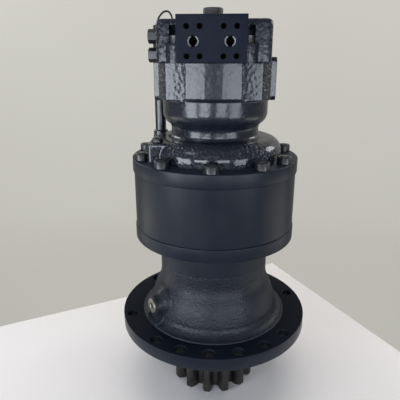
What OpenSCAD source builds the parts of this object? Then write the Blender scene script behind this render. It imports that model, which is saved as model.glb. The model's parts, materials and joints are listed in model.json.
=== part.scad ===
// Excavator swing motor: axial piston motor over a two-stage planetary reduction and an output pinion.
// Z runs up the drive's axis from the underside of the mounting flange. The port face looks along -Y.

/* [Mounting flange] */
// Diameter of the mounting flange
flange_d = 393; // [388:1:400]
// Thickness of the mounting flange
flange_t = 26; // [24:1:30]
// Pitch circle of the mounting holes
flange_pcd = 356.5; // [352:0.5:360]
// Diameter of a mounting hole
flange_hole_d = 22; // [18:1:24]
// Diameter of the locating spigot under the flange
spigot_d = 300; // [296:1:304]
// Height of the locating spigot
spigot_h = 12; // [10:1:14]

/* [Lower housing] */
// Diameter where the flare meets the flange
foot_d = 302; // [298:1:306]
// Diameter of the housing's neck
neck_d = 223; // [220:1:226]
// Height where the flare ends and the neck starts
flare_top_z = 108; // [104:1:112]
// Height of the lower housing over the mounting face
housing_h = 226.6; // [224:0.2:230]
// Diameter of the housing's top flange
housing_top_d = 323; // [321:1:326]
// Thickness of the housing's top flange
housing_top_t = 25.8; // [24:0.2:28]
// Radius of the level plug's boss
level_boss_r = 21; // [19:0.5:23]
// Height of the level plug's axis
level_z = 65.8; // [62:0.2:68]
// Reach of the level plug's boss from the axis
level_reach = 147; // [144:0.5:148]

/* [Reduction] */
// Outside diameter of the ring gear
ring_d = 320; // [318:1:321]
// Height of the ring gear
ring_h = 110.6; // [110:0.2:114]
// Module of both planetary stages
stage_module = 4; // [3.96:0.01:4]
// Face width of the stage 2 gears
stage_2_face = 44; // [41:1:44]
// Face width of the stage 1 gears
stage_1_face = 22; // [19:1:22]
// Diameter of a stage 2 planet pin
pin_2_d = 36; // [32:1:38]
// Diameter of a stage 1 planet pin
pin_1_d = 30; // [26:1:32]
// Pitch circle of the long bolts
ring_bolt_pcd = 294; // [292:1:295]
// Diameter of a long bolt's shank
ring_bolt_d = 16; // [12:1:16]

/* [Pinion and shaft] */
// Module of the pinion
pinion_module = 12; // [11.6:0.1:12.2]
// Height of the pinion's teeth
pinion_face = 100; // [92:1:104]
// Depth of the pinion's upper end under the mounting face
pinion_drop = 45; // [43:1:47]
// Diameter of the shaft in the lower bearing
lower_seat_d = 100; // [98:1:102]
// Diameter of the shaft in the upper bearing
upper_seat_d = 90; // [89:1:92]
// Outside diameter of the lower bearing
lower_bearing_d = 180; // [179:1:182]
// Outside diameter of the upper bearing
upper_bearing_d = 160; // [159:1:162]

/* [Motor casing] */
// Diameter of the motor casing's flange
casing_flange_d = 325; // [324:1:327]
// Thickness of the motor casing's flange
casing_flange_t = 25.9; // [25:0.1:27]
// Diameter of the dome over the reduction
dome_d = 260; // [258:1:264]
// Height of the dome over the casing's flange
dome_h = 38.5; // [38:0.5:40]
// Rounding of the dome's shoulder
dome_round = 26; // [22:1:27]
// Diameter of the casing's waist
waist_d = 169; // [160:1:170]
// Diameter of the bowl over the waist
bowl_d = 201; // [192:1:203]
// Half width of the casing block
block_half_w = 101; // [100:0.5:103]
// Half depth of the casing block
block_half_d = 90; // [90:0.5:93]
// Height of the casing block
block_h = 68; // [67.5:0.5:70]

/* [Valve casing] */
// Width of the valve casing
valve_w = 201; // [198:1:203]
// Height of the valve casing
valve_h = 72.5; // [71:0.5:74]
// Width of the port block
port_block_w = 120.6; // [119:0.2:122]
// Reach of the port face from the axis
port_reach = 84.5; // [84:0.5:86]
// Distance between the two ports
port_gap = 62.2; // [62:0.2:64]
// Diameter of a port
port_d = 16; // [14:1:18]
// Width of a port's bolt rectangle
port_rect_w = 22.2; // [22:0.1:22.4]
// Height of a port's bolt rectangle
port_rect_h = 47.6; // [47:0.1:48]
// Diameter of a threaded hole round a port
port_thread_d = 8.5; // [8:0.1:9]

/* [Rotating group] */
// Diameter of a piston
piston_d = 21; // [19:0.5:21]
// Radius of the circle that the pistons lie on
piston_circle_r = 41.3; // [41:0.1:41.5]
// Outside radius of the cylinder block
barrel_r = 58; // [57.6:0.1:58.2]
// Length of the cylinder block
barrel_h = 68.5; // [67:0.5:69]
// Tilt of the swash plate in degrees
swash_tilt = 15; // [12:0.5:15]

/* [Dipstick] */
// Outside diameter of the dipstick tube
tube_d = 22; // [20:0.5:23]
// Diameter of the dipstick's wire handle
wire_d = 2.8; // [2.2:0.1:3]

/* [Hidden] */
$fn = 96;

// Colours of the paint, the bare steel, the zinc, the bronze and the rubber
paint = "#24272d";
steel = "#8f9296";
dark_steel = "#54565a";
zinc = "#b5ae93";
bronze = "#a67c4a";
rubber = "#1b1b1c";

// Overrun of every cut past the face that it leaves
cut = 1;
// Radial clearance of a running or sliding fit
run_fit = 0.05;
// Gap between rolling pieces and what they roll on
roll_gap = 0.3;
// Film between flat faces that slide on each other
face_gap = 0.1;
// Clearance round a bolt's shank or head
bolt_gap = 0.75;
// Backlash taken off each side of a tooth
backlash = 0.15;
// Pressure angle of every gear, in degrees
pressure_angle = 20;
// Steps of a rounded corner in an outline
round_steps = 5;

// Mounting flange: every place is a step on one circle, and the list names the steps that carry a hole
hole_step = 18;
hole_steps = [0, 1, 2, 3, 6, 8, 9, 10, 11, 12, 13, 16, 18, 19];

// Lower housing
foot_rim_h = 2;
foot_rim_w = 3;
flare_low_r = 134;
flare_low_z = 48;
flare_bulge_r = 206;
neck_fillet = 6;
lower_shoulder_r = 78;
lower_shoulder_h = 12;
cavity_r = 86;
cavity_slope = 12;
upper_shoulder_r = 70;
recess_r = 125;
recess_drop = 14.6;
recess_z = housing_h - recess_drop;
recess_floor_gap = 4;
level_angle = -54;
level_root_r = 100;
level_web_share = 0.85;
level_hole_r = 10;
level_thread = 16;
level_head_r = 15;
level_head_h = 4.3;
level_socket_r = 6.5;
level_socket_h = 6;

// Bearings on the output shaft
lower_bearing_z = -10;
lower_bearing_h = 46;
lower_race_t = 11;
lower_roller_count = 18;
upper_bearing_drop = 66.6;
upper_bearing_z = housing_h - upper_bearing_drop;
upper_bearing_h = 40;
upper_race_t = 9;
upper_roller_count = 17;
cage_t = 5;
roller_share = 0.8;
race_edge = 1.5;

// Seal cover
cover_r = 110;
cover_h = 28;
cover_lip_h = 2;
cover_lip_fit = 0.1;
cover_bore_r = 64;
cover_floor = 4;
cover_bolt_r = 100;
cover_bolt_count = 8;
cover_bolt_d = 10;
cover_bolt_grip = 32;
seal_r = 78;
seal_h = 14;
seal_groove_r = 4;
sleeve_t = 8;
shaft_sleeve_r = 52;

// Bolts: sizes of a socket head as shares of the bolt's diameter
head_share = 0.75;
half_turn = 180;
socket_share = 0.43;
socket_depth_share = 0.5;
ring_bolt_angles = [0, 36, 62, 108, 134, 157, 180, -156, -130, -104, -67, -37];
ring_head_share = 0.84;
ring_head_h_share = 0.86;
ring_bolt_drill = 22;
ring_bolt_tip = 2;
edge_chamfer = 0.9;

// Planetary stages
ring_teeth = 63;
planet_2_teeth = 21;
sun_2_teeth = ring_teeth - 2 * planet_2_teeth;
planet_1_teeth = 24;
sun_1_teeth = ring_teeth - 2 * planet_1_teeth;
planet_count = 3;
addendum_share = 1;
dedendum_share = 1.25;
ring_tip_share = 1;
ring_root_share = 1.25;
nut_r = 60;
nut_h = 12;
nut_bore_r = 42;
nut_slots = 4;
nut_slot_w = 10;
nut_slot_depth = 5;
hub_gap = 1;
plate_2_t = 16;
plate_2_top_t = 10;
plate_2_r = 116;
plate_2_hub_r = 52;
plate_2_hole_r = 50;
web_out_r = 114;
web_in_r = 62;
planet_room = 4;
planet_gap = 2;
plate_gap = 4;
plate_1_t = 12;
plate_1_r = 100;
plate_1_notch_r = 30;
pin_collar_h = 2;
pin_collar_w = 4;
sun_neck_r = 30;
sun_bore_r = 20;
sun_gap = 3;
spline_depth = 2.5;
spline_gap = 0.12;
shaft_spline_r = 40;
shaft_spline_teeth = 24;
neck_spline_r = 33;
neck_spline_teeth = 20;

// Pinion shaft
pinion_teeth = 13;
pinion_phase = -6;
pinion_shift = 0.25;
pinion_addendum_share = 1.042;
pinion_dedendum_share = 1;
collar_r = 62;
collar_h = 7;
shaft_waist_r = 47;
shaft_top_gap = 3;
tooth_chamfer = 4;

// Motor casing
bowl_rise = 47.4;
bowl_round = 24;
bowl_h = 20.5;
waist_fillet = 12;
casing_fillet = 8;
space_r = 122;
space_h = 31;
space_top_r = 104;
space_top_h = 16;
hub_r = 62;
hub_top_r = 66;
hub_drop = 13;
shaft_seal_r = 34;
shaft_seal_h = 12;
seal_journal_r = 20;
bearing_step = 3;
bearing_lip_r = 30;
front_bearing_h = 26;
front_bearing_r = 46;
front_seat_r = 22.5;
front_race_t = 6.5;
front_roller_count = 13;
front_bearing_room = 4;
swash_space_r = 66;
pack_space_r = 74;
pack_rise = 16;
piston_space_r = 79;
block_shares = [[46.5 / 101, 1], [85.5 / 101, 76 / 90], [1, 50 / 90]];
block_round = 7;
boss_reach = 13;
boss_lip_h = 10.5;
boss_round = 8;
left_boss_y = 9;
left_boss_w = 66;
right_boss_y = 27;
right_boss_w = 66;
side_plug_z = 31.5;
side_plug_r = 5.5;
side_plug_h = 3.5;
stick_boss_left = 120;
stick_boss_right = 70;
stick_boss_front = 88;
stick_boss_back = 20;
stick_boss_h = 35;
scallop_r = 14.5;
bolt_spot_h = 0.5;
fill_plug_x = 105;
fill_plug_y = 60;
fill_plug_r = 9;
fill_plug_h = 7;
fill_plug_sink = 12;

// Rotating group
piston_count = 9;
centre_rise = 38;
shoe_rise = 9;
shoe_r = 13;
shoe_flange_h = 4;
shoe_neck_r = 8;
shoe_circle_r = 42;
socket_r = 7.2;
ball_r = 6.2;
ball_lift = 14.2;
piston_neck_r = 4.6;
piston_foot_z = 25;
piston_h = 50;
bore_top_gap = 4;
swash_r = 60;
swash_bore_r = 25;
retainer_t = 4;
retainer_drop = 5;
retainer_r = 56;
retainer_hole_gap = 0.5;
guide_r = 22;
guide_drop = 14;
guide_top_r = 24;
guide_top_z = 9;
swash_shaft_r = 20.5;
block_spline_r = 18;
block_spline_teeth = 16;
shaft_neck_r = 15;
shaft_end_r = 14;
sun_spline_r = 16;
rear_bearing_r = 26;
rear_bearing_h = 18;
rear_race_t = 4;
rear_roller_count = 12;
valve_plate_h = 6.5;
valve_plate_r = 57;
valve_plate_bore_r = 17;
barrel_port_r = 6;
kidney_span = 128;
spring_pocket_r = 27;
spring_pocket_h = 36;
block_spring_r = 22;
block_spring_wire_r = 2;
block_spring_turns = 4;
washer_t = 2;
washer_inset = 3;
washer_fit = 0.1;

// Parking brake
friction_count = 3;
plate_t = 3;
friction_r = 72;
barrel_teeth = 24;
barrel_tooth_h = 3;
tooth_gap = 0.6;
lug_count = 12;
lug_r = 2.5;
lug_gap = 0.4;
separator_in_r = 64;
brake_piston_bore_r = 64;
brake_piston_h = 22;
brake_spring_count = 10;
brake_spring_r = 4;
brake_spring_wire_r = 1;
brake_spring_turns = 4;
spring_pocket_depth = 12;
spring_pocket_wall_gap = 0.6;

// Valve casing
valve_x = -4.2;
body_x = -1.4;
valve_front = 72;
valve_back = 78;
valve_corner = 12;
valve_top_round = 10;
valve_bolt_x = 62.5;
valve_bolt_y = 68;
valve_bolt_d = 14;
valve_bolt_drill = 24;
valve_ledge_h = 32;
valve_foot_r = 16;
pocket_r = 15.5;
port_block_rise = 5.6;
port_block_depth = 40;
port_z = 35.5;
port_end_y = 20;
port_chamfer = 1.8;
port_thread_depth = 22;
kidney_drill_r = 6;
relief_y = 25;
relief_z = 45.6;
relief_stem_r = 10;
relief_head_r = 12.6;
check_z = 13.6;
check_stem_r = 10;
check_head_r = 13;
fitting_depth = 30;
fitting_collar_h = 3;
fitting_head_h = 16;
top_plug_r = 18.6;
top_plug_h = 24;
top_plug_x = -6.2;
top_plug_y = 18;
top_plug_stem_r = 13;
top_plug_stem_h = 14;

// Dipstick
tube_side_gap = 2.8;
tube_x = valve_w / 2 - body_x + tube_d / 2 + tube_side_gap;
tube_y = 56;
tube_boss_r = 16;
tube_boss_h = 30;
oil_pocket_share = 0.9;
oil_pocket_r = 13;
oil_pocket_h = 26;
tube_wall = 2.2;
tube_sink = 10;
tube_top_gap = 9;
tube_collar_h = 9;
tube_collar_w = 4;
stick_r = 2.2;
stick_cap_r = 10;
stick_cap_h = 6;
stick_low_z = 10;
handle_w = 23.5;
handle_h = 26;
handle_foot_h = 8;
tube_gap = 0.4;

// O-rings of the three joints
o_ring_r = 1.7;
o_ring_gap = 0.1;
o_ring_low_r = 134.5;
o_ring_top_r = 80.8;
o_ring_top_wire_r = 0.8;

// Levels up the axis
ring_z = housing_h;
casing_z = ring_z + ring_h;
dome_z = casing_z + casing_flange_t;
dome_top_z = dome_z + dome_h;
bowl_z = dome_top_z + bowl_rise;
block_z = bowl_z + bowl_h;
valve_z = block_z + block_h;
valve_top_z = valve_z + valve_h;
plate_2_z = recess_z + recess_floor_gap;
gear_2_z = plate_2_z + plate_2_t + planet_gap;
plate_2_top_z = gear_2_z + stage_2_face + planet_gap;
plate_1_z = plate_2_top_z + plate_2_top_t + plate_gap;
gear_1_z = plate_1_z + plate_1_t + planet_gap;
hub_z = casing_z + hub_drop;
front_bearing_z = dome_z + bearing_step;
swash_z = front_bearing_z + front_bearing_h + front_bearing_room;
centre_z = swash_z + centre_rise;
barrel_top_z = valve_z - valve_plate_h - face_gap;
barrel_z = barrel_top_z - barrel_h;
pack_z = block_z + pack_rise;
pack_top_z = pack_z + (2 * friction_count + 1) * (plate_t + face_gap);
brake_piston_z = pack_top_z;
pinion_z = -pinion_drop - pinion_face;
tube_seat_z = dome_z + tube_boss_h;
cover_z = -spigot_h - cover_h;
centre_2_r = stage_module * (sun_2_teeth + planet_2_teeth) / 2;
centre_1_r = stage_module * (sun_1_teeth + planet_1_teeth) / 2;
sun_1_top_z = hub_z - 2 * planet_gap;

// Gears: the angle that a tooth side adds between its base circle and radius r
function involute(rb, r) = r <= rb ? 0 : let (a = acos(rb / r)) tan(a) * 180 / PI - a;
// Half the angle that a tooth fills at radius r
function half_angle(z, m, shift, thin, r) =
    let (pitch_r = m * z / 2)
    let (rb = pitch_r * cos(pressure_angle))
    (90 + 360 / PI * shift * tan(pressure_angle)) / z - thin / pitch_r * 180 / PI
    + involute(rb, pitch_r) - involute(rb, r);
// Outline of a gear with one tooth at the angle phase from +X
function gear_outline(z, m, shift, thin, root_r, tip_r, phase, steps) =
    let (base_r = m * z / 2 * cos(pressure_angle))
    let (low_r = max(root_r, base_r))
    let (radii = [for (i = [0 : steps]) low_r + (tip_r - low_r) * i / steps])
    let (all = root_r < low_r ? concat([root_r], radii) : radii)
    [for (t = [0 : z - 1]) each concat(
        [for (r = all) tooth_point(r, phase + t * 360 / z - half_angle(z, m, shift, thin, r))],
        [for (i = [len(all) - 1 : -1 : 0])
            tooth_point(all[i], phase + t * 360 / z + half_angle(z, m, shift, thin, all[i]))])];
function tooth_point(r, a) = [r * cos(a), r * sin(a)];
module stage_gear(z, phase, face) {
    m = stage_module;
    linear_extrude(height = face)
        polygon(gear_outline(z, m, 0, backlash, m * z / 2 - dedendum_share * m,
            m * z / 2 + addendum_share * m, phase, 3));
}
// Outline of a straight-sided spline, opened by grow for the bore that it fits
function spline_outline(n, r, depth, grow) =
    [for (t = [0 : n - 1])
        let (extra = grow / r * 180 / PI)
        let (foot = 130 / n + extra)
        let (tip = 80 / n + extra)
        for (p = [[r - depth + grow, -foot], [r + grow, -tip], [r + grow, tip], [r - depth + grow, foot]])
            tooth_point(p[0], t * 360 / n + p[1])];
module spline(n, r, depth, grow, z, h) {
    translate([0, 0, z]) linear_extrude(height = h) polygon(spline_outline(n, r, depth, grow));
}

// Outlines: a corner b between a and c, rounded to radius r
function corner(a, b, c, r) =
    let (u = (a - b) / norm(a - b))
    let (v = (c - b) / norm(c - b))
    let (half = acos(u * v) / 2)
    let (mid = b + (u + v) / norm(u + v) * r / sin(half))
    let (start = b + u * r / tan(half) - mid)
    let (first = atan2(start[1], start[0]))
    let (side = (b - a)[0] * (c - b)[1] - (b - a)[1] * (c - b)[0] > 0 ? 1 : -1)
    [for (i = [0 : round_steps])
        let (q = first + side * (half_turn - 2 * half) * i / round_steps)
        mid + r * [cos(q), sin(q)]];
function rounded(pts, r) = let (n = len(pts))
    [for (i = [0 : n - 1]) each corner(pts[(i + n - 1) % n], pts[i], pts[(i + 1) % n], r)];
function box_outline(x0, x1, y0, y1) = [[x0, y0], [x1, y0], [x1, y1], [x0, y1]];
// Centre of the arc of radius r that bulges outward from the axis between two points
function arc_centre(low, high, r) =
    let (d = high - low)
    let (reach = sqrt(r * r - d * d / 4))
    (low + high) / 2 + [-d[1], d[0]] / norm(d) * reach;

module at_angle(a, r) {
    rotate([0, 0, a]) translate([0, -r, 0]) children();
}
module rod(r, z, h) {
    translate([0, 0, z]) cylinder(r = r, h = h);
}
module tube(out_r, in_r, z, h) {
    difference() {
        rod(out_r, z, h);
        rod(in_r, z - cut, h + 2 * cut);
    }
}
// A ring with chamfered edges
module race(out_r, in_r, z, h, edge) {
    translate([0, 0, z]) rotate_extrude()
        polygon([[in_r, edge], [in_r + edge, 0], [out_r - edge, 0], [out_r, edge],
            [out_r, h - edge], [out_r - edge, h], [in_r + edge, h], [in_r, h - edge]]);
}
// A socket-head bolt whose head stands on z
module socket_bolt(d, grip, z, share = head_share, h_share = 1) {
    difference() {
        union() {
            rod(share * d, z, h_share * d);
            rod(d / 2, z - grip, grip + d / 2);
        }
        translate([0, 0, z + d * (h_share - socket_depth_share)])
            cylinder(r = socket_share * d, h = d, $fn = 6);
    }
}
module rollers(count, circle_r, r, z, h) {
    for (i = [0 : count - 1])
        at_angle(i * 360 / count, circle_r) rod(r, z + h * (1 - roller_share) / 2, h * roller_share);
}
module cage(count, circle_r, r, z, h) {
    pocket_h = h * roller_share + 2 * roll_gap;
    difference() {
        tube(circle_r + cage_t / 2, circle_r - cage_t / 2, z + race_edge, h - 2 * race_edge);
        for (i = [0 : count - 1])
            at_angle(i * 360 / count, circle_r) rod(r + roll_gap, z + (h - pocket_h) / 2, pocket_h);
    }
}
function roller_r(out_r, in_r) = (out_r - in_r) / 2 - roll_gap;
// A coil of round wire that stands on z = 0, swept as one closed tube
coil_steps = 10;
coil_sides = 4;
module coil(r, wire_r, turns, h) {
    rings = turns * coil_steps;
    rise = (h - 2 * wire_r) / rings;
    points = [for (i = [0 : rings]) for (s = [0 : coil_sides - 1])
        let (a = i * 360 / coil_steps)
        let (q = s * 360 / coil_sides)
        let (reach = r + wire_r * cos(q))
        [reach * cos(a), reach * sin(a), wire_r + rise * i + wire_r * sin(q)]];
    low_end = [for (s = [coil_sides - 1 : -1 : 0]) s];
    high_end = [for (s = [0 : coil_sides - 1]) rings * coil_sides + s];
    walls = [for (i = [0 : rings - 1]) for (s = [0 : coil_sides - 1])
        let (a = i * coil_sides + s)
        let (b = i * coil_sides + (s + 1) % coil_sides)
        each [[a, b + coil_sides, a + coil_sides], [a, b, b + coil_sides]]];
    polyhedron(points = points, faces = concat([low_end, high_end], walls));
}
module o_ring(r, wire_r, z) {
    translate([0, 0, z - wire_r]) rotate_extrude() translate([r, 0]) circle(r = wire_r);
}
module o_groove(r, wire_r, z) {
    half_w = wire_r + o_ring_gap;
    tube(r + half_w, r - half_w, z - 2 * half_w, 2 * half_w + cut);
}

// Lower housing and what it carries
module housing_outline() {
    low = [flare_low_r, flare_low_z];
    high = [neck_d / 2, flare_top_z];
    foot_z = flange_t + foot_rim_h;
    fillet_r = flare_low_z - foot_z;
    square([flange_d / 2, flange_t]);
    translate([0, -spigot_h]) square([spigot_d / 2, spigot_h]);
    difference() {
        union() {
            square([foot_d / 2 + foot_rim_w, foot_z]);
            square([foot_d / 2, flare_low_z]);
        }
        translate([flare_low_r + fillet_r, flare_low_z]) circle(r = fillet_r);
    }
    intersection() {
        polygon([[0, flare_low_z], low, [flare_low_r, flare_top_z + cut], [0, flare_top_z + cut]]);
        translate(arc_centre(low, high, flare_bulge_r)) circle(r = flare_bulge_r);
    }
    square([neck_d / 2, housing_h]);
    translate([0, housing_h - housing_top_t]) square([housing_top_d / 2, housing_top_t]);
    difference() {
        translate([0, housing_h - housing_top_t - neck_fillet])
            square([neck_d / 2 + neck_fillet, neck_fillet]);
        translate([neck_d / 2 + neck_fillet, housing_h - housing_top_t - neck_fillet])
            circle(r = neck_fillet);
    }
}
module housing_space() {
    low_top = lower_bearing_z + lower_bearing_h;
    polygon([[0, -spigot_h - cut], [lower_bearing_d / 2, -spigot_h - cut], [lower_bearing_d / 2, low_top],
        [lower_shoulder_r, low_top], [lower_shoulder_r, low_top + lower_shoulder_h],
        [cavity_r, low_top + lower_shoulder_h + cavity_slope],
        [cavity_r, upper_bearing_z - lower_shoulder_h - cavity_slope],
        [upper_shoulder_r, upper_bearing_z - lower_shoulder_h], [upper_shoulder_r, upper_bearing_z],
        [upper_bearing_d / 2, upper_bearing_z], [upper_bearing_d / 2, recess_z],
        [recess_r, recess_z], [recess_r, housing_h + cut], [0, housing_h + cut]]);
}
module level_boss() {
    depth = level_reach - level_root_r;
    web_r = level_boss_r * level_web_share;
    rotate([90, 0, 0]) rod(level_boss_r, level_root_r, depth);
    translate([-web_r, -level_reach, flange_t - level_z - cut])
        cube([2 * web_r, depth, level_z - flange_t + cut]);
}
module at_level_plug() {
    rotate([0, 0, level_angle]) translate([0, 0, level_z]) children();
}
module lower_housing() {
    color(paint) difference() {
        union() {
            rotate_extrude() difference() {
                housing_outline();
                housing_space();
            }
            at_level_plug() level_boss();
        }
        for (s = hole_steps)
            at_angle(s * hole_step, flange_pcd / 2) rod(flange_hole_d / 2, -cut, flange_t + 2 * cut);
        for (a = ring_bolt_angles)
            at_angle(a, ring_bolt_pcd / 2)
                rod(ring_bolt_d / 2, housing_h - ring_bolt_drill, ring_bolt_drill + cut);
        cover_bolt_places() rod(cover_bolt_d / 2, -spigot_h - cut, cover_bolt_grip - cover_bolt_d + cut);
        at_level_plug() rotate([90, 0, 0]) rod(level_hole_r, cavity_r - cavity_slope, level_reach);
        o_groove(o_ring_low_r, o_ring_r, housing_h);
    }
}
module level_plug() {
    color(zinc) at_level_plug() rotate([90, 0, 0]) difference() {
        union() {
            rod(level_hole_r, level_reach - level_thread, level_thread);
            rod(level_head_r, level_reach, level_head_h);
        }
        translate([0, 0, level_reach + level_head_h - level_socket_h])
            cylinder(r = level_socket_r, h = level_socket_h + cut, $fn = 6);
    }
}
module cover_bolt_places() {
    for (i = [0 : cover_bolt_count - 1]) at_angle((i + 0.5) * 360 / cover_bolt_count, cover_bolt_r) children();
}
module seal_cover() {
    bolt_r = cover_bolt_d / 2 + bolt_gap;
    head_r = head_share * cover_bolt_d + bolt_gap;
    color(paint) difference() {
        union() {
            rod(cover_r, cover_z, cover_h);
            rod(lower_bearing_d / 2 - cover_lip_fit, -spigot_h - cut, cover_lip_h + cut);
        }
        rod(cover_bore_r, cover_z - cut, cover_h);
        rod(seal_r, cover_z + cover_floor, cover_h + cover_lip_h);
        cover_bolt_places() {
            rod(bolt_r, cover_z - cut, cover_h + 2 * cut);
            rod(head_r, cover_z - cut, cover_bolt_d + cut);
        }
    }
}
module cover_bolts() {
    color(dark_steel) cover_bolt_places()
        translate([0, 0, cover_z + cover_bolt_d]) mirror([0, 0, 1])
            socket_bolt(cover_bolt_d, cover_bolt_grip, 0);
}
module output_seal() {
    in_r = shaft_sleeve_r + sleeve_t + run_fit;
    mid_r = (in_r + seal_r) / 2;
    color(rubber) difference() {
        tube(seal_r, in_r, cover_z + cover_floor, seal_h);
        tube(mid_r + seal_groove_r, mid_r - seal_groove_r, cover_z + cover_floor + seal_h / 2, seal_h);
    }
}
module lower_bearing_outer() {
    out_r = lower_bearing_d / 2;
    color(steel) race(out_r, out_r - lower_race_t, lower_bearing_z, lower_bearing_h, race_edge);
}
module upper_bearing_outer() {
    out_r = upper_bearing_d / 2;
    color(steel) race(out_r, out_r - upper_race_t, upper_bearing_z, upper_bearing_h, race_edge);
}

// Pieces that turn with the pinion
module pinion() {
    m = pinion_module;
    pitch_r = m * pinion_teeth / 2;
    root_r = pitch_r - pinion_dedendum_share * m;
    tip_r = pitch_r + pinion_addendum_share * m;
    intersection() {
        translate([0, 0, pinion_z]) linear_extrude(height = pinion_face)
            polygon(gear_outline(pinion_teeth, m, pinion_shift, backlash, root_r, tip_r, pinion_phase - 90, 5));
        translate([0, 0, pinion_z]) rotate_extrude()
            polygon([[0, 0], [tip_r - tooth_chamfer, 0], [tip_r + cut, tooth_chamfer + cut],
                [tip_r + cut, pinion_face - tooth_chamfer - cut], [tip_r - tooth_chamfer, pinion_face],
                [0, pinion_face]]);
    }
}
module pinion_shaft() {
    sleeve_z = -pinion_drop + collar_h;
    bearing_top = lower_bearing_z + lower_bearing_h;
    nut_z = upper_bearing_z + upper_bearing_h;
    spline_z = nut_z + nut_h;
    color(dark_steel) {
        union() {
            pinion();
            rod(collar_r, -pinion_drop - cut, collar_h + cut);
            rod(shaft_sleeve_r, sleeve_z - cut, lower_bearing_z - sleeve_z + cut);
            rod(lower_seat_d / 2, lower_bearing_z - cut, lower_bearing_h + cut);
            rod(shaft_waist_r, bearing_top - cut, upper_bearing_z - bearing_top + cut);
            rod(upper_seat_d / 2, upper_bearing_z - cut, upper_bearing_h + cut);
            rod(nut_bore_r, nut_z - cut, nut_h + cut);
            spline(shaft_spline_teeth, shaft_spline_r, spline_depth, 0, spline_z - cut,
                gear_2_z - shaft_top_gap - spline_z + cut);
        }
    }
}
module seal_sleeve() {
    z = -pinion_drop + collar_h;
    color(steel) tube(shaft_sleeve_r + sleeve_t, shaft_sleeve_r, z, lower_bearing_z - z);
}
module lower_bearing_inner() {
    in_r = lower_seat_d / 2;
    color(steel) race(in_r + lower_race_t, in_r, lower_bearing_z, lower_bearing_h, race_edge);
}
module upper_bearing_inner() {
    in_r = upper_seat_d / 2;
    color(steel) race(in_r + upper_race_t, in_r, upper_bearing_z, upper_bearing_h, race_edge);
}
module shaft_nut() {
    z = upper_bearing_z + upper_bearing_h;
    color(dark_steel) difference() {
        tube(nut_r, nut_bore_r, z, nut_h);
        for (i = [0 : nut_slots - 1])
            rotate([0, 0, i * 360 / nut_slots])
                translate([nut_r - nut_slot_depth, -nut_slot_w / 2, z - cut])
                    cube([nut_slot_depth + cut, nut_slot_w, nut_h + 2 * cut]);
    }
}
module planet_places(r) {
    for (i = [0 : planet_count - 1]) rotate([0, 0, i * 360 / planet_count]) translate([r, 0, 0]) children();
}
module carrier_2() {
    planet_r = stage_module * (planet_2_teeth / 2 + addendum_share) + planet_room;
    hub_low_z = upper_bearing_z + upper_bearing_h + nut_h + hub_gap;
    color(steel) difference() {
        union() {
            rod(plate_2_hub_r, hub_low_z, plate_2_z - hub_low_z + cut);
            rod(plate_2_r, plate_2_z, plate_2_t);
            difference() {
                tube(web_out_r, web_in_r, plate_2_z + plate_2_t - cut, stage_2_face + 2 * planet_gap + 2 * cut);
                planet_places(centre_2_r) rod(planet_r, plate_2_z + plate_2_t, stage_2_face + 2 * planet_gap);
            }
            tube(plate_2_r, plate_2_hole_r, plate_2_top_z, plate_2_top_t);
        }
        spline(shaft_spline_teeth, shaft_spline_r, spline_depth, spline_gap, hub_low_z - cut,
            plate_2_t + plate_2_z - hub_low_z + 2 * cut);
        planet_places(centre_2_r) rod(pin_2_d / 2, plate_2_z - cut, plate_2_top_z + plate_2_top_t - plate_2_z + 2 * cut);
    }
}
module carrier_2_pins() {
    color(steel) planet_places(centre_2_r) rod(pin_2_d / 2, plate_2_z, plate_2_top_z + plate_2_top_t - plate_2_z);
}
module planet_2(i) {
    color(steel) rotate([0, 0, i * 360 / planet_count]) translate([centre_2_r, 0, gear_2_z]) difference() {
        stage_gear(planet_2_teeth, 0, stage_2_face);
        rod(pin_2_d / 2 + run_fit, -cut, stage_2_face + 2 * cut);
    }
}
module planet_2a() { planet_2(0); }
module planet_2b() { planet_2(1); }
module planet_2c() { planet_2(2); }

// Bearing rollers and cages of the output shaft
module lower_bearing_rollers() {
    in_r = lower_seat_d / 2 + lower_race_t;
    out_r = lower_bearing_d / 2 - lower_race_t;
    color(steel) rollers(lower_roller_count, (in_r + out_r) / 2, roller_r(out_r, in_r),
        lower_bearing_z, lower_bearing_h);
}
module lower_bearing_cage() {
    in_r = lower_seat_d / 2 + lower_race_t;
    out_r = lower_bearing_d / 2 - lower_race_t;
    color(bronze) cage(lower_roller_count, (in_r + out_r) / 2, roller_r(out_r, in_r),
        lower_bearing_z, lower_bearing_h);
}
module upper_bearing_rollers() {
    in_r = upper_seat_d / 2 + upper_race_t;
    out_r = upper_bearing_d / 2 - upper_race_t;
    color(steel) rollers(upper_roller_count, (in_r + out_r) / 2, roller_r(out_r, in_r),
        upper_bearing_z, upper_bearing_h);
}
module upper_bearing_cage() {
    in_r = upper_seat_d / 2 + upper_race_t;
    out_r = upper_bearing_d / 2 - upper_race_t;
    color(bronze) cage(upper_roller_count, (in_r + out_r) / 2, roller_r(out_r, in_r),
        upper_bearing_z, upper_bearing_h);
}

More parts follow.
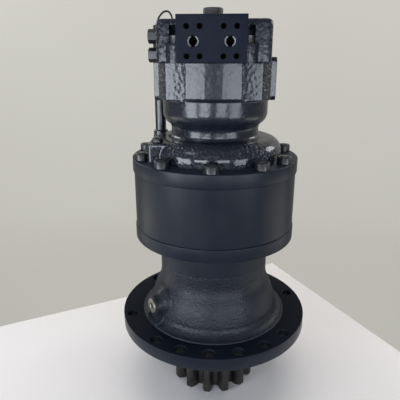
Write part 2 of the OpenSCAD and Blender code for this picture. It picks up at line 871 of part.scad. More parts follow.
// Ring gear: its tooth spaces are the outline of a gear of the same tooth count
module ring_gear() {
    m = stage_module;
    pitch_r = m * ring_teeth / 2;
    color(paint) difference() {
        race(ring_d / 2, pitch_r - ring_tip_share * m - 2 * edge_chamfer, ring_z, ring_h, edge_chamfer);
        translate([0, 0, ring_z - cut]) linear_extrude(height = ring_h + 2 * cut)
            polygon(gear_outline(ring_teeth, m, 0, -backlash, pitch_r - ring_tip_share * m,
                pitch_r + ring_root_share * m, 0, 3));
        for (a = ring_bolt_angles)
            at_angle(a, ring_bolt_pcd / 2) rod(ring_bolt_d / 2 + bolt_gap, ring_z - cut, ring_h + 2 * cut);
    }
}
module ring_bolts() {
    color(paint) for (a = ring_bolt_angles)
        at_angle(a, ring_bolt_pcd / 2)
            socket_bolt(ring_bolt_d, dome_z - bolt_spot_h - housing_h + ring_bolt_drill - ring_bolt_tip,
                dome_z - bolt_spot_h, ring_head_share, ring_head_h_share);
}

// Stage 1 carrier with the stage 2 sun
module sun_2() {
    plate_top = plate_1_z + plate_1_t;
    color(steel) difference() {
        union() {
            translate([0, 0, gear_2_z])
                stage_gear(sun_2_teeth, 0, stage_2_face);
            rod(sun_neck_r, gear_2_z, plate_top - gear_2_z);
            spline(neck_spline_teeth, neck_spline_r, spline_depth, 0, plate_1_z, plate_1_t);
        }
        rod(sun_bore_r, gear_2_z - cut, plate_top - gear_2_z + 2 * cut);
    }
}
module carrier_1() {
    color(steel) difference() {
        rod(plate_1_r, plate_1_z, plate_1_t);
        spline(neck_spline_teeth, neck_spline_r, spline_depth, spline_gap, plate_1_z - cut, plate_1_t + 2 * cut);
        planet_places(centre_1_r) rod(pin_1_d / 2, plate_1_z - cut, plate_1_t + 2 * cut);
        rotate([0, 0, 180]) planet_places(plate_1_r) rod(plate_1_notch_r, plate_1_z - cut, plate_1_t + 2 * cut);
    }
}
module carrier_1_pins() {
    top_z = gear_1_z + stage_1_face + face_gap;
    color(steel) planet_places(centre_1_r) {
        rod(pin_1_d / 2, plate_1_z, top_z - plate_1_z + pin_collar_h);
        rod(pin_1_d / 2 + pin_collar_w, top_z, pin_collar_h);
    }
}
module planet_1(i) {
    color(steel) rotate([0, 0, i * 360 / planet_count]) translate([centre_1_r, 0, gear_1_z]) difference() {
        stage_gear(planet_1_teeth, 0, stage_1_face);
        rod(pin_1_d / 2 + run_fit, -cut, stage_1_face + 2 * cut);
    }
}
module planet_1a() { planet_1(0); }
module planet_1b() { planet_1(1); }
module planet_1c() { planet_1(2); }

// Motor casing
module casing_outline() {
    dome_r = dome_d / 2;
    waist_r = waist_d / 2;
    bowl_mid = [bowl_d / 2 - bowl_round, bowl_z];
    fillet_x = waist_r + waist_fillet;
    fillet_z = bowl_z - sqrt(pow(bowl_round + waist_fillet, 2) - pow(fillet_x - bowl_mid[0], 2));
    translate([0, casing_z]) square([casing_flange_d / 2, casing_flange_t]);
    translate([0, dome_z]) square([dome_r, dome_h - dome_round]);
    translate([0, dome_z]) square([dome_r - dome_round, dome_h]);
    intersection() {
        translate([dome_r - dome_round, dome_top_z - dome_round]) circle(r = dome_round);
        translate([0, dome_z]) square([dome_r, dome_h]);
    }
    translate([0, dome_z]) square([waist_r, block_z - dome_z]);
    difference() {
        translate([0, dome_top_z]) square([waist_r + casing_fillet, casing_fillet]);
        translate([waist_r + casing_fillet, dome_top_z + casing_fillet]) circle(r = casing_fillet);
    }
    intersection() {
        translate(bowl_mid) circle(r = bowl_round);
        translate([0, dome_z]) square([bowl_d, bowl_z - dome_z]);
    }
    difference() {
        polygon([[0, fillet_z], [fillet_x, fillet_z], bowl_mid, [0, bowl_z]]);
        translate([fillet_x, fillet_z]) circle(r = waist_fillet);
    }
    translate([0, bowl_z]) square([bowl_d / 2, block_z - bowl_z]);
}
module casing_space() {
    seal_top_z = hub_z + shaft_seal_h;
    race_top_z = front_bearing_z + front_bearing_h;
    polygon([[0, casing_z - cut], [space_r, casing_z - cut], [space_r, casing_z + space_h],
        [space_top_r, casing_z + space_h + space_top_h], [hub_top_r, casing_z + space_h + space_top_h],
        [hub_r, hub_z], [shaft_seal_r, hub_z], [shaft_seal_r, seal_top_z],
        [bearing_lip_r, seal_top_z], [bearing_lip_r, front_bearing_z], [front_bearing_r, front_bearing_z],
        [front_bearing_r, race_top_z], [front_bearing_r, swash_z], [swash_space_r, swash_z],
        [swash_space_r, pack_z], [pack_space_r, pack_z], [pack_space_r, pack_top_z],
        [piston_space_r, pack_top_z], [piston_space_r, valve_z + cut], [0, valve_z + cut]]);
}
function block_outline() =
    let (half = [for (p = block_shares) [p[0] * block_half_w, -p[1] * block_half_d]])
    let (right = concat(half, [for (i = [len(half) - 1 : -1 : 0]) [half[i][0], -half[i][1]]]))
    concat(right, [for (i = [len(right) - 1 : -1 : 0]) [-right[i][0], right[i][1]]]);
module side_boss(y, w) {
    translate([0, y, block_z]) rotate([90, 0, 90])
        linear_extrude(height = block_half_w + boss_reach)
            polygon(rounded(box_outline(-w / 2, w / 2, 0, block_h), boss_round));
}
// The right boss stands up beside the valve casing, clear of it
module boss_lip() {
    translate([block_half_w, right_boss_y, block_z]) rotate([90, 0, 90])
        linear_extrude(height = boss_reach)
            polygon(rounded(box_outline(-right_boss_w / 2, right_boss_w / 2, 0, block_h + boss_lip_h), boss_round));
}
module side_plug_places() {
    translate([block_half_w + boss_reach, right_boss_y, block_z + side_plug_z]) rotate([0, 90, 0]) children();
    translate([-block_half_w - boss_reach, left_boss_y, block_z + side_plug_z]) rotate([0, -90, 0]) children();
}
module motor_casing() {
    hole_r = ring_bolt_d / 2 + bolt_gap;
    color(paint) difference() {
        union() {
            rotate_extrude() casing_outline();
            translate([0, 0, block_z]) linear_extrude(height = block_h)
                polygon(rounded(block_outline(), block_round));
            side_boss(right_boss_y, right_boss_w);
            boss_lip();
            mirror([1, 0, 0]) side_boss(left_boss_y, left_boss_w);
            translate([0, 0, dome_z - cut]) linear_extrude(height = stick_boss_h + cut)
                polygon(rounded(box_outline(-stick_boss_left, -stick_boss_right, -stick_boss_front,
                    stick_boss_back), boss_round));
            translate([-tube_x, tube_y, 0]) rod(tube_boss_r, dome_z - cut, tube_boss_h + cut);
        }
        rotate_extrude() casing_space();
        for (a = ring_bolt_angles) at_angle(a, ring_bolt_pcd / 2) {
            rod(hole_r, casing_z - cut, casing_flange_t + 2 * cut);
            rod(scallop_r, dome_z - bolt_spot_h, dome_h);
        }
        for (i = [0 : lug_count - 1])
            rotate([0, 0, i * 360 / lug_count]) translate([pack_space_r, 0, 0])
                rod(lug_r, pack_z, pack_top_z - pack_z + cut);
        valve_bolt_places() rod(valve_bolt_d / 2, valve_z - valve_bolt_drill, valve_bolt_drill + cut);
        translate([-tube_x, tube_y, 0]) {
            rod(tube_d / 2, tube_seat_z - tube_sink, tube_sink + dome_h);
            rod(tube_d / 2 - tube_wall, casing_z + stick_low_z / 2, casing_flange_t + tube_boss_h);
            rod(tube_d / 2 + tube_collar_w + bolt_gap, tube_seat_z, dome_h);
        }
        translate([-tube_x * oil_pocket_share, tube_y * oil_pocket_share, 0])
            rod(oil_pocket_r, casing_z - cut, oil_pocket_h + cut);
        translate([-fill_plug_x, -fill_plug_y, 0]) {
            rod(fill_plug_r * head_share, dome_z + stick_boss_h - fill_plug_sink, fill_plug_sink + cut);
            rod(fill_plug_r + bolt_gap, dome_z + stick_boss_h, dome_h);
        }
        side_plug_places() rod(side_plug_r * head_share, -fill_plug_sink, fill_plug_sink + cut);
        o_groove(o_ring_top_r, o_ring_top_wire_r, valve_z);
    }
}
module casing_plugs() {
    color(paint) {
        translate([-fill_plug_x, -fill_plug_y, dome_z + stick_boss_h])
            socket_plug(fill_plug_r, fill_plug_h, fill_plug_sink);
        side_plug_places() socket_plug(side_plug_r, side_plug_h, fill_plug_sink);
    }
}
// A flat plug that sits on z = 0, with its thread below
module socket_plug(r, h, sink) {
    difference() {
        union() {
            rod(r, 0, h);
            rod(r * head_share, -sink, sink + h / 2);
        }
        translate([0, 0, h - r * socket_depth_share]) cylinder(r = r * socket_share, h = r, $fn = 6);
    }
}
module shaft_seal() {
    color(rubber) tube(shaft_seal_r, seal_journal_r + run_fit, hub_z, shaft_seal_h);
}
module front_bearing_outer() {
    color(steel) race(front_bearing_r, front_bearing_r - front_race_t, front_bearing_z, front_bearing_h, race_edge);
}

// Motor shaft and rotating group
module motor_shaft() {
    sun_end_z = gear_1_z + sun_gap;
    journal_z = sun_1_top_z + race_edge;
    bearing_top = front_bearing_z + front_bearing_h;
    spline_z = centre_z - guide_drop - sun_gap;
    color(steel) {
        union() {
            spline(block_spline_teeth, sun_spline_r, spline_depth, 0, sun_end_z, journal_z - sun_end_z + cut);
            rod(seal_journal_r, journal_z, front_bearing_z - journal_z + cut);
            rod(front_seat_r, front_bearing_z, front_bearing_h);
            rod(swash_shaft_r, bearing_top - cut, spline_z - bearing_top + cut);
            spline(block_spline_teeth, block_spline_r, spline_depth, 0, spline_z - cut,
                barrel_top_z - spring_pocket_h - spline_z + 2 * cut);
            rod(shaft_neck_r, barrel_top_z - spring_pocket_h, valve_z - barrel_top_z + spring_pocket_h);
            rod(shaft_end_r, valve_z - cut, rear_bearing_h + cut);
        }
    }
}
module sun_1() {
    color(steel) difference() {
        translate([0, 0, gear_1_z]) stage_gear(sun_1_teeth, 180 / sun_1_teeth, sun_1_top_z - gear_1_z);
        spline(block_spline_teeth, sun_spline_r, spline_depth, spline_gap, gear_1_z - cut,
            sun_1_top_z - gear_1_z + 2 * cut);
    }
}
module front_bearing_inner() {
    color(steel) race(front_seat_r + front_race_t, front_seat_r, front_bearing_z, front_bearing_h, race_edge);
}
module front_bearing_rollers() {
    in_r = front_seat_r + front_race_t;
    out_r = front_bearing_r - front_race_t;
    color(steel) rollers(front_roller_count, (in_r + out_r) / 2, roller_r(out_r, in_r),
        front_bearing_z, front_bearing_h);
}
module rear_bearing_outer() {
    color(steel) race(rear_bearing_r, rear_bearing_r - rear_race_t, valve_z, rear_bearing_h, race_edge / 2);
}
module rear_bearing_rollers() {
    out_r = rear_bearing_r - rear_race_t;
    color(steel) rollers(rear_roller_count, (shaft_end_r + out_r) / 2, roller_r(out_r, shaft_end_r),
        valve_z, rear_bearing_h);
}
// Everything on the swash plate turns about the axis that its tilt gives
module tilted() {
    translate([0, 0, centre_z]) rotate([swash_tilt, 0, 0]) children();
}
module swash_plate() {
    color(steel) difference() {
        rod(swash_r, swash_z, 2 * centre_rise);
        tilted() rod(2 * swash_r, -shoe_rise, 3 * centre_rise);
        rod(swash_bore_r, swash_z - cut, 2 * centre_rise + 2 * cut);
    }
}
module shoe_places() {
    for (i = [0 : piston_count - 1])
        rotate([0, 0, i * 360 / piston_count]) translate([shoe_circle_r, 0, 0]) children();
}
module shoes() {
    color(bronze) tilted() shoe_places() difference() {
        union() {
            rod(shoe_r, face_gap - shoe_rise, shoe_flange_h - face_gap);
            rod(shoe_neck_r, -shoe_rise + shoe_flange_h / 2, shoe_rise - shoe_flange_h / 2);
        }
        sphere(r = socket_r);
    }
}
module retainer_plate() {
    color(steel) tilted() difference() {
        rod(retainer_r, -retainer_drop, retainer_t);
        rod(guide_r + retainer_hole_gap, -retainer_drop - cut, retainer_t + 2 * cut);
        shoe_places() rod(shoe_neck_r + retainer_hole_gap, -retainer_drop - cut, retainer_t + 2 * cut);
    }
}
module ball_guide() {
    color(steel) difference() {
        union() {
            intersection() {
                translate([0, 0, centre_z]) sphere(r = guide_r);
                rod(guide_r, centre_z - guide_drop, guide_drop + guide_top_z + cut);
            }
            rod(guide_top_r, centre_z + guide_top_z, barrel_z - centre_z - guide_top_z);
        }
        spline(block_spline_teeth, block_spline_r, spline_depth, spline_gap, centre_z - guide_drop - cut,
            barrel_z - centre_z + guide_drop + 2 * cut);
    }
}
module piston_places() {
    for (i = [0 : piston_count - 1])
        rotate([0, 0, i * 360 / piston_count]) translate([piston_circle_r, 0, 0]) children();
}
module pistons() {
    ball_z = centre_z + ball_lift;
    foot_z = centre_z + piston_foot_z;
    color(steel) piston_places() {
        union() {
            translate([0, 0, ball_z]) sphere(r = ball_r);
            rod(piston_neck_r, ball_z, foot_z - ball_z + cut);
            rod(piston_d / 2, foot_z, piston_h);
        }
    }
}
module cylinder_block() {
    bore_top_z = centre_z + piston_foot_z + piston_h + bore_top_gap;
    pocket_z = barrel_top_z - spring_pocket_h;
    color(bronze) difference() {
        union() {
            rod(barrel_r, barrel_z, barrel_h);
            spline(barrel_teeth, barrel_r + barrel_tooth_h, barrel_tooth_h + cut, 0, pack_z, pack_top_z - pack_z);
        }
        piston_places() {
            rod(piston_d / 2 + run_fit, barrel_z - cut, bore_top_z - barrel_z + cut);
            rod(barrel_port_r, bore_top_z - cut, barrel_top_z - bore_top_z + 2 * cut);
        }
        spline(block_spline_teeth, block_spline_r, spline_depth, spline_gap, barrel_z - cut, pocket_z - barrel_z + 2 * cut);
        rod(spring_pocket_r, pocket_z, spring_pocket_h + cut);
    }
}
module block_spring() {
    pocket_z = barrel_top_z - spring_pocket_h;
    washer_z = barrel_top_z - washer_inset - washer_t;
    color(steel) {
        translate([0, 0, pocket_z]) coil(block_spring_r, block_spring_wire_r, block_spring_turns, washer_z - pocket_z);
        tube(spring_pocket_r - washer_fit, shaft_neck_r + washer_fit, washer_z, washer_t);
    }
}
module kidney(a) {
    w = barrel_port_r;
    end_a = a + kidney_span;
    rotate([0, 0, a]) rotate_extrude(angle = kidney_span) translate([piston_circle_r - w, -cut])
        square([2 * w, valve_plate_h + 2 * cut]);
    for (q = [a, end_a]) rotate([0, 0, q]) translate([piston_circle_r, 0, 0]) rod(w, -cut, valve_plate_h + 2 * cut);
}
module valve_plate() {
    z = valve_z - valve_plate_h;
    color(bronze) difference() {
        tube(valve_plate_r, valve_plate_bore_r, z, valve_plate_h);
        translate([0, 0, z]) {
            kidney(-kidney_span / 2);
            kidney(half_turn - kidney_span / 2);
        }
    }
}

// Parking brake
module friction_plates() {
    color(bronze) for (i = [0 : friction_count - 1]) {
        z = pack_z + (2 * i + 1) * (plate_t + face_gap);
        difference() {
            rod(friction_r, z, plate_t);
            spline(barrel_teeth, barrel_r + barrel_tooth_h, barrel_tooth_h, tooth_gap, z - cut, plate_t + 2 * cut);
        }
    }
}
module separator_plates() {
    color(steel) for (i = [0 : friction_count]) {
        z = pack_z + 2 * i * (plate_t + face_gap);
        difference() {
            union() {
                rod(pack_space_r - lug_gap, z, plate_t);
                for (k = [0 : lug_count - 1])
                    rotate([0, 0, k * 360 / lug_count]) translate([pack_space_r, 0, 0])
                        rod(lug_r - lug_gap, z, plate_t);
            }
            rod(separator_in_r, z - cut, plate_t + 2 * cut);
        }
    }
}
module brake_spring_places() {
    mid_r = (brake_piston_bore_r + piston_space_r) / 2;
    for (i = [0 : brake_spring_count - 1])
        rotate([0, 0, (i + 0.5) * 360 / brake_spring_count]) translate([mid_r, 0, 0]) children();
}
module brake_piston() {
    top_z = brake_piston_z + brake_piston_h;
    pocket = brake_spring_r + brake_spring_wire_r + spring_pocket_wall_gap;
    color(steel) difference() {
        tube(piston_space_r - run_fit, brake_piston_bore_r, brake_piston_z, brake_piston_h);
        brake_spring_places() rod(pocket, top_z - spring_pocket_depth, spring_pocket_depth + cut);
    }
}
module brake_springs() {
    low_z = brake_piston_z + brake_piston_h - spring_pocket_depth;
    color(steel) brake_spring_places() translate([0, 0, low_z])
        coil(brake_spring_r, brake_spring_wire_r, brake_spring_turns, valve_z - low_z);
}

// Valve casing and its fittings
module valve_bolt_places() {
    for (sx = [-1, 1]) for (sy = [-1, 1])
        translate([valve_x + sx * valve_bolt_x, sy * valve_bolt_y, 0]) children();
}
module valve_body() {
    half_w = valve_w / 2;
    intersection() {
        translate([body_x, 0, valve_z]) linear_extrude(height = valve_h)
            polygon(rounded(box_outline(-half_w, half_w, -valve_front, valve_back), valve_corner));
        translate([body_x, valve_back + cut, valve_z - valve_top_round * 2]) rotate([90, 0, 0])
            linear_extrude(height = valve_front + valve_back + 2 * cut)
                polygon(rounded(box_outline(-half_w, half_w, 0, valve_h + valve_top_round * 2), valve_top_round));
        translate([-valve_w, 0, valve_z - valve_top_round * 2]) rotate([90, 0, 90])
            linear_extrude(height = 2 * valve_w)
                polygon(rounded(box_outline(-valve_front, valve_back, 0, valve_h + valve_top_round * 2),
                    valve_top_round));
    }
}
module port_block() {
    translate([valve_x - port_block_w / 2, -port_reach, valve_z])
        cube([port_block_w, port_block_depth, valve_h + port_block_rise]);
}
module port_places() {
    for (s = [-1, 1])
        translate([valve_x + s * port_gap / 2, -port_reach, valve_z + port_z]) rotate([90, 0, 0]) children();
}
module fitting_places(z) {
    for (s = [-1, 1])
        translate([body_x - valve_w / 2, s * relief_y, valve_z + z]) rotate([0, -90, 0]) children();
}
module valve_casing() {
    bolt_r = valve_bolt_d / 2 + bolt_gap;
    port_depth = port_reach + port_end_y;
    color(paint) difference() {
        union() {
            difference() {
                union() {
                    valve_body();
                    valve_bolt_places() rod(valve_foot_r, valve_z, valve_ledge_h);
                }
                valve_bolt_places() rod(pocket_r, valve_z + valve_ledge_h, valve_h);
                for (s = [-1, 1]) for (t = [-1, 1])
                    translate([valve_x + s * valve_bolt_x - pocket_r, t > 0 ? valve_bolt_y : -valve_bolt_y - valve_front,
                        valve_z + valve_ledge_h])
                        cube([2 * pocket_r, valve_front, valve_h]);
            }
            port_block();
        }
        valve_bolt_places() rod(bolt_r, valve_z - cut, valve_ledge_h + 2 * cut);
        valve_bolt_places() rod(head_share * valve_bolt_d + bolt_gap, valve_z + valve_ledge_h, valve_bolt_d + cut);
        port_places() {
            rod(port_d / 2, -port_depth, port_depth + cut);
            translate([0, 0, -port_chamfer])
                cylinder(r1 = port_d / 2, r2 = port_d / 2 + port_chamfer, h = port_chamfer);
            for (sx = [-1, 1]) for (sy = [-1, 1])
                translate([sx * port_rect_w / 2, sy * port_rect_h / 2, 0])
                    rod(port_thread_d / 2, -port_thread_depth, port_thread_depth + cut);
        }
        for (s = [-1, 1]) for (t = [-1, 0, 1])
            rotate([0, 0, s > 0 ? t * kidney_span / 4 : 180 + t * kidney_span / 4])
                translate([piston_circle_r, 0, 0]) rod(kidney_drill_r, valve_z - cut, port_z + cut);
        rod(rear_bearing_r, valve_z - cut, rear_bearing_h + cut);
        fitting_places(relief_z) rod(relief_stem_r, -fitting_depth, fitting_depth + cut);
        fitting_places(check_z) rod(check_stem_r, -fitting_depth, fitting_depth + cut);
        translate([top_plug_x, top_plug_y, 0])
            rod(top_plug_stem_r, valve_top_z - top_plug_stem_h, top_plug_stem_h + cut);
    }
}
module valve_bolts() {
    color(paint) valve_bolt_places()
        socket_bolt(valve_bolt_d, valve_ledge_h + valve_bolt_drill - ring_bolt_tip, valve_z + valve_ledge_h);
}
module fitting(stem_r, head_r) {
    rod(stem_r, -fitting_depth, fitting_depth + cut);
    rod(head_r, 0, fitting_collar_h);
    cylinder(r = head_r, h = fitting_collar_h + fitting_head_h, $fn = 6);
}
module relief_valves() {
    color(paint) fitting_places(relief_z) fitting(relief_stem_r, relief_head_r);
}
module check_valve_plugs() {
    color(paint) fitting_places(check_z) fitting(check_stem_r, check_head_r);
}
module top_plug() {
    color(dark_steel) translate([top_plug_x, top_plug_y, 0]) {
        union() {
            rod(top_plug_stem_r, valve_top_z - top_plug_stem_h, top_plug_stem_h + cut);
            race(top_plug_r, 0, valve_top_z, top_plug_h, race_edge);
        }
    }
}
module o_rings() {
    color(rubber) {
        o_ring(o_ring_low_r, o_ring_r, housing_h - o_ring_gap);
        o_ring(o_ring_top_r, o_ring_top_wire_r, valve_z - o_ring_gap);
    }
}

// Dipstick and its tube
module dipstick_tube() {
    low_z = tube_seat_z - tube_sink;
    high_z = valve_top_z - tube_top_gap;
    color(paint) translate([-tube_x, tube_y, 0]) difference() {
        union() {
            rod(tube_d / 2, low_z, high_z - low_z);
            rod(tube_d / 2 + tube_collar_w, low_z + tube_sink, tube_collar_h);
        }
        rod(tube_d / 2 - tube_wall, low_z - cut, high_z - low_z + 2 * cut);
    }
}
module dipstick() {
    top_z = valve_top_z - tube_top_gap;
    low_z = casing_z + stick_low_z;
    wire_r = wire_d / 2;
    arc_r = handle_w / 2;
    color(dark_steel) translate([-tube_x, tube_y, 0]) union() {
        rod(stick_r, low_z, top_z - low_z + cut);
        rod(tube_d / 2 - tube_wall - tube_gap, top_z - tube_sink, tube_sink + cut);
        rod(stick_cap_r, top_z + face_gap, stick_cap_h);
        translate([0, 0, top_z + stick_cap_h]) {
            rod(wire_r, 0, handle_h - arc_r);
            translate([handle_w, 0, 0]) rod(wire_r, handle_foot_h, handle_h - arc_r - handle_foot_h);
            translate([arc_r, 0, handle_h - arc_r]) rotate([90, 0, 0])
                rotate_extrude(angle = 180) translate([arc_r, 0]) circle(r = wire_r);
        }
    }
}

lower_housing();
level_plug();
seal_cover();
cover_bolts();
output_seal();
lower_bearing_outer();
upper_bearing_outer();
ring_gear();
ring_bolts();
motor_casing();
casing_plugs();
dipstick_tube();
swash_plate();
shaft_seal();
front_bearing_outer();
rear_bearing_outer();
separator_plates();
valve_plate();
valve_casing();
valve_bolts();
relief_valves();
check_valve_plugs();
top_plug();
o_rings();
brake_springs();
pinion_shaft();
seal_sleeve();
lower_bearing_inner();
upper_bearing_inner();
shaft_nut();
carrier_2();
carrier_2_pins();
lower_bearing_rollers();
lower_bearing_cage();
upper_bearing_rollers();
upper_bearing_cage();
planet_2a();
planet_2b();
planet_2c();
sun_2();
carrier_1();
carrier_1_pins();
planet_1a();
planet_1b();
planet_1c();
motor_shaft();
sun_1();
front_bearing_inner();
cylinder_block();
pistons();
ball_guide();
block_spring();
friction_plates();
front_bearing_rollers();
rear_bearing_rollers();
retainer_plate();
shoes();
brake_piston();
dipstick();
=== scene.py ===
import json
import logging
import math
from collections.abc import Iterable, Sequence
from dataclasses import dataclass, field
from enum import Enum, IntEnum

import bmesh
import bpy
from mathutils import Matrix, Vector


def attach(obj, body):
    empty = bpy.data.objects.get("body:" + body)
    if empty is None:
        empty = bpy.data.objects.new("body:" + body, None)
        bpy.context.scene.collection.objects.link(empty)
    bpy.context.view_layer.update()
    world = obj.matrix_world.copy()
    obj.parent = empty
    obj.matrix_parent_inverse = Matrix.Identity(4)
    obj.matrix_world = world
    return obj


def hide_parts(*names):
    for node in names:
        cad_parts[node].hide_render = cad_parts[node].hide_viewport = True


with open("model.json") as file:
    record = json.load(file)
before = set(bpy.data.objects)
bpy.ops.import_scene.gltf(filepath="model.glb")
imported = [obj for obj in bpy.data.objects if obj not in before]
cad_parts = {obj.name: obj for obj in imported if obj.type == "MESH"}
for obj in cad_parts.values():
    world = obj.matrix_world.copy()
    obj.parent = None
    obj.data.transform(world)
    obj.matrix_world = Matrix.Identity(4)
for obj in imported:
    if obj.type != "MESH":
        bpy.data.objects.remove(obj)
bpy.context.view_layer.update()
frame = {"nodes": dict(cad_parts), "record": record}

Point = tuple[float, float]
Spot = tuple[float, float, float]
Colour = tuple[float, float, float, float]
Piece = bpy.types.Object
Node = bpy.types.Node
Socket = bpy.types.NodeSocket
Inputs = dict[str | int, float | Colour | Socket]

MM = 0.001      # metres
NEAR = 1e-6     # metres, or mm on an outline: as good as equal
UPWARDS = 0.8   # a normal with more z than this looks up
DUST_PATCH = 2.2            # how much wider dust lies than the mottle
DUST_EDGE = (0.48, 0.72)    # strength of the noise where dust starts and where it is full
ROUGH_RANGE = (0.75, 1.3)   # least and most roughness, against the finish's own
TURNING = (0.05, 0.05, 6)   # how turning marks stretch the grain
DIMPLE_ROUND = 0.6          # how far the dimples of thick paint flow together

log = logging.getLogger("swing_motor")


class Solver(Enum):
    """Boolean solvers: MANIFOLD for dense closed castings, EXACT for light parts."""

    MANIFOLD = "MANIFOLD"
    EXACT = "EXACT"


class Blend(Enum):
    """What a boolean does with the piece and its tool."""

    CUT = "DIFFERENCE"
    ADD = "UNION"
    MEET = "INTERSECT"


class Facets(IntEnum):
    """Facets in a full turn, by what is turned."""

    FLANGE = 256
    BELL = 200
    CASING = 160
    KNURLED = 96
    TUBE = 64
    BORE = 48
    ROD = 40
    PIN = 32


@dataclass(frozen=True)
class Skin:
    """How a sand casting comes out of its mould: mesh size, relaxing passes, height and width of its humps, in mm."""

    grain: float
    passes: int
    wave: float
    wave_size: float = 6.0


def turned(radius: float, angle: float) -> Vector:
    """Point at a radius and an angle from the port side, seen from above.

    Args:
        radius: Distance from the drive's axis, in mm.
        angle: Degrees from -Y towards +X.

    Returns:
        The point in metres, at z = 0.
    """
    a = math.radians(angle)
    return Vector((radius * math.sin(a), -radius * math.cos(a), 0)) * MM


def shift(x: float, y: float, z: float = 0.0) -> Matrix:
    """A move by lengths in mm."""
    return Matrix.Translation((x * MM, y * MM, z * MM))


def spin(degrees: float, axis: str = "Z") -> Matrix:
    """A turn about an axis through the origin."""
    return Matrix.Rotation(math.radians(degrees), 4, axis)


def box(x0: float, y0: float, x1: float, y1: float) -> list[Point]:
    """The four corners of a rectangle, from its lowest to its highest point."""
    return [(x0, y0), (x1, y0), (x1, y1), (x0, y1)]


def arc(centre: Point, radius: float, first: float, last: float, steps: int = 8) -> list[Point]:
    """Points along an arc.

    Args:
        centre: Centre of the arc, in mm.
        radius: Its radius, in mm.
        first: Angle of the first point, in degrees.
        last: Angle of the last point, in degrees.
        steps: Straight steps between them.

    Returns:
        The points, both ends among them.
    """
    angles = [math.radians(first + (last - first) * i / steps) for i in range(steps + 1)]
    return [(centre[0] + radius * math.cos(a), centre[1] + radius * math.sin(a)) for a in angles]


def soften(points: Sequence[Point], radius: float, steps: int = 5, skip: Iterable[int] = ()) -> list[Point]:
    """Rounds the corners of a closed outline.

    Args:
        points: Corners in order, in mm.
        radius: Radius of each corner, limited by its neighbours.
        steps: Straight steps in a corner.
        skip: Indices of corners that stay sharp.

    Returns:
        The outline with an arc in place of each corner.
    """
    sharp, straight, share = set(skip), math.radians(175), 0.45
    done: list[Point] = []
    for i, here in enumerate(points):
        before, after = Vector(points[i - 1]), Vector(points[(i + 1) % len(points)])
        mid = Vector(here)
        u, v = before - mid, after - mid
        angle = u.angle(v, math.pi)
        if i in sharp or angle > straight:
            done.append((mid.x, mid.y))
            continue
        reach = min(radius / math.tan(angle / 2), u.length * share, v.length * share)
        true_radius = reach * math.tan(angle / 2)
        start, end = mid + u.normalized() * reach, mid + v.normalized() * reach
        centre = mid + (u.normalized() + v.normalized()).normalized() * (true_radius / math.sin(angle / 2))
        a, b = start - centre, end - centre
        for k in range(steps + 1):
            spoke = a.lerp(b, k / steps).normalized() * true_radius
            done.append((centre.x + spoke.x, centre.y + spoke.y))
    return done


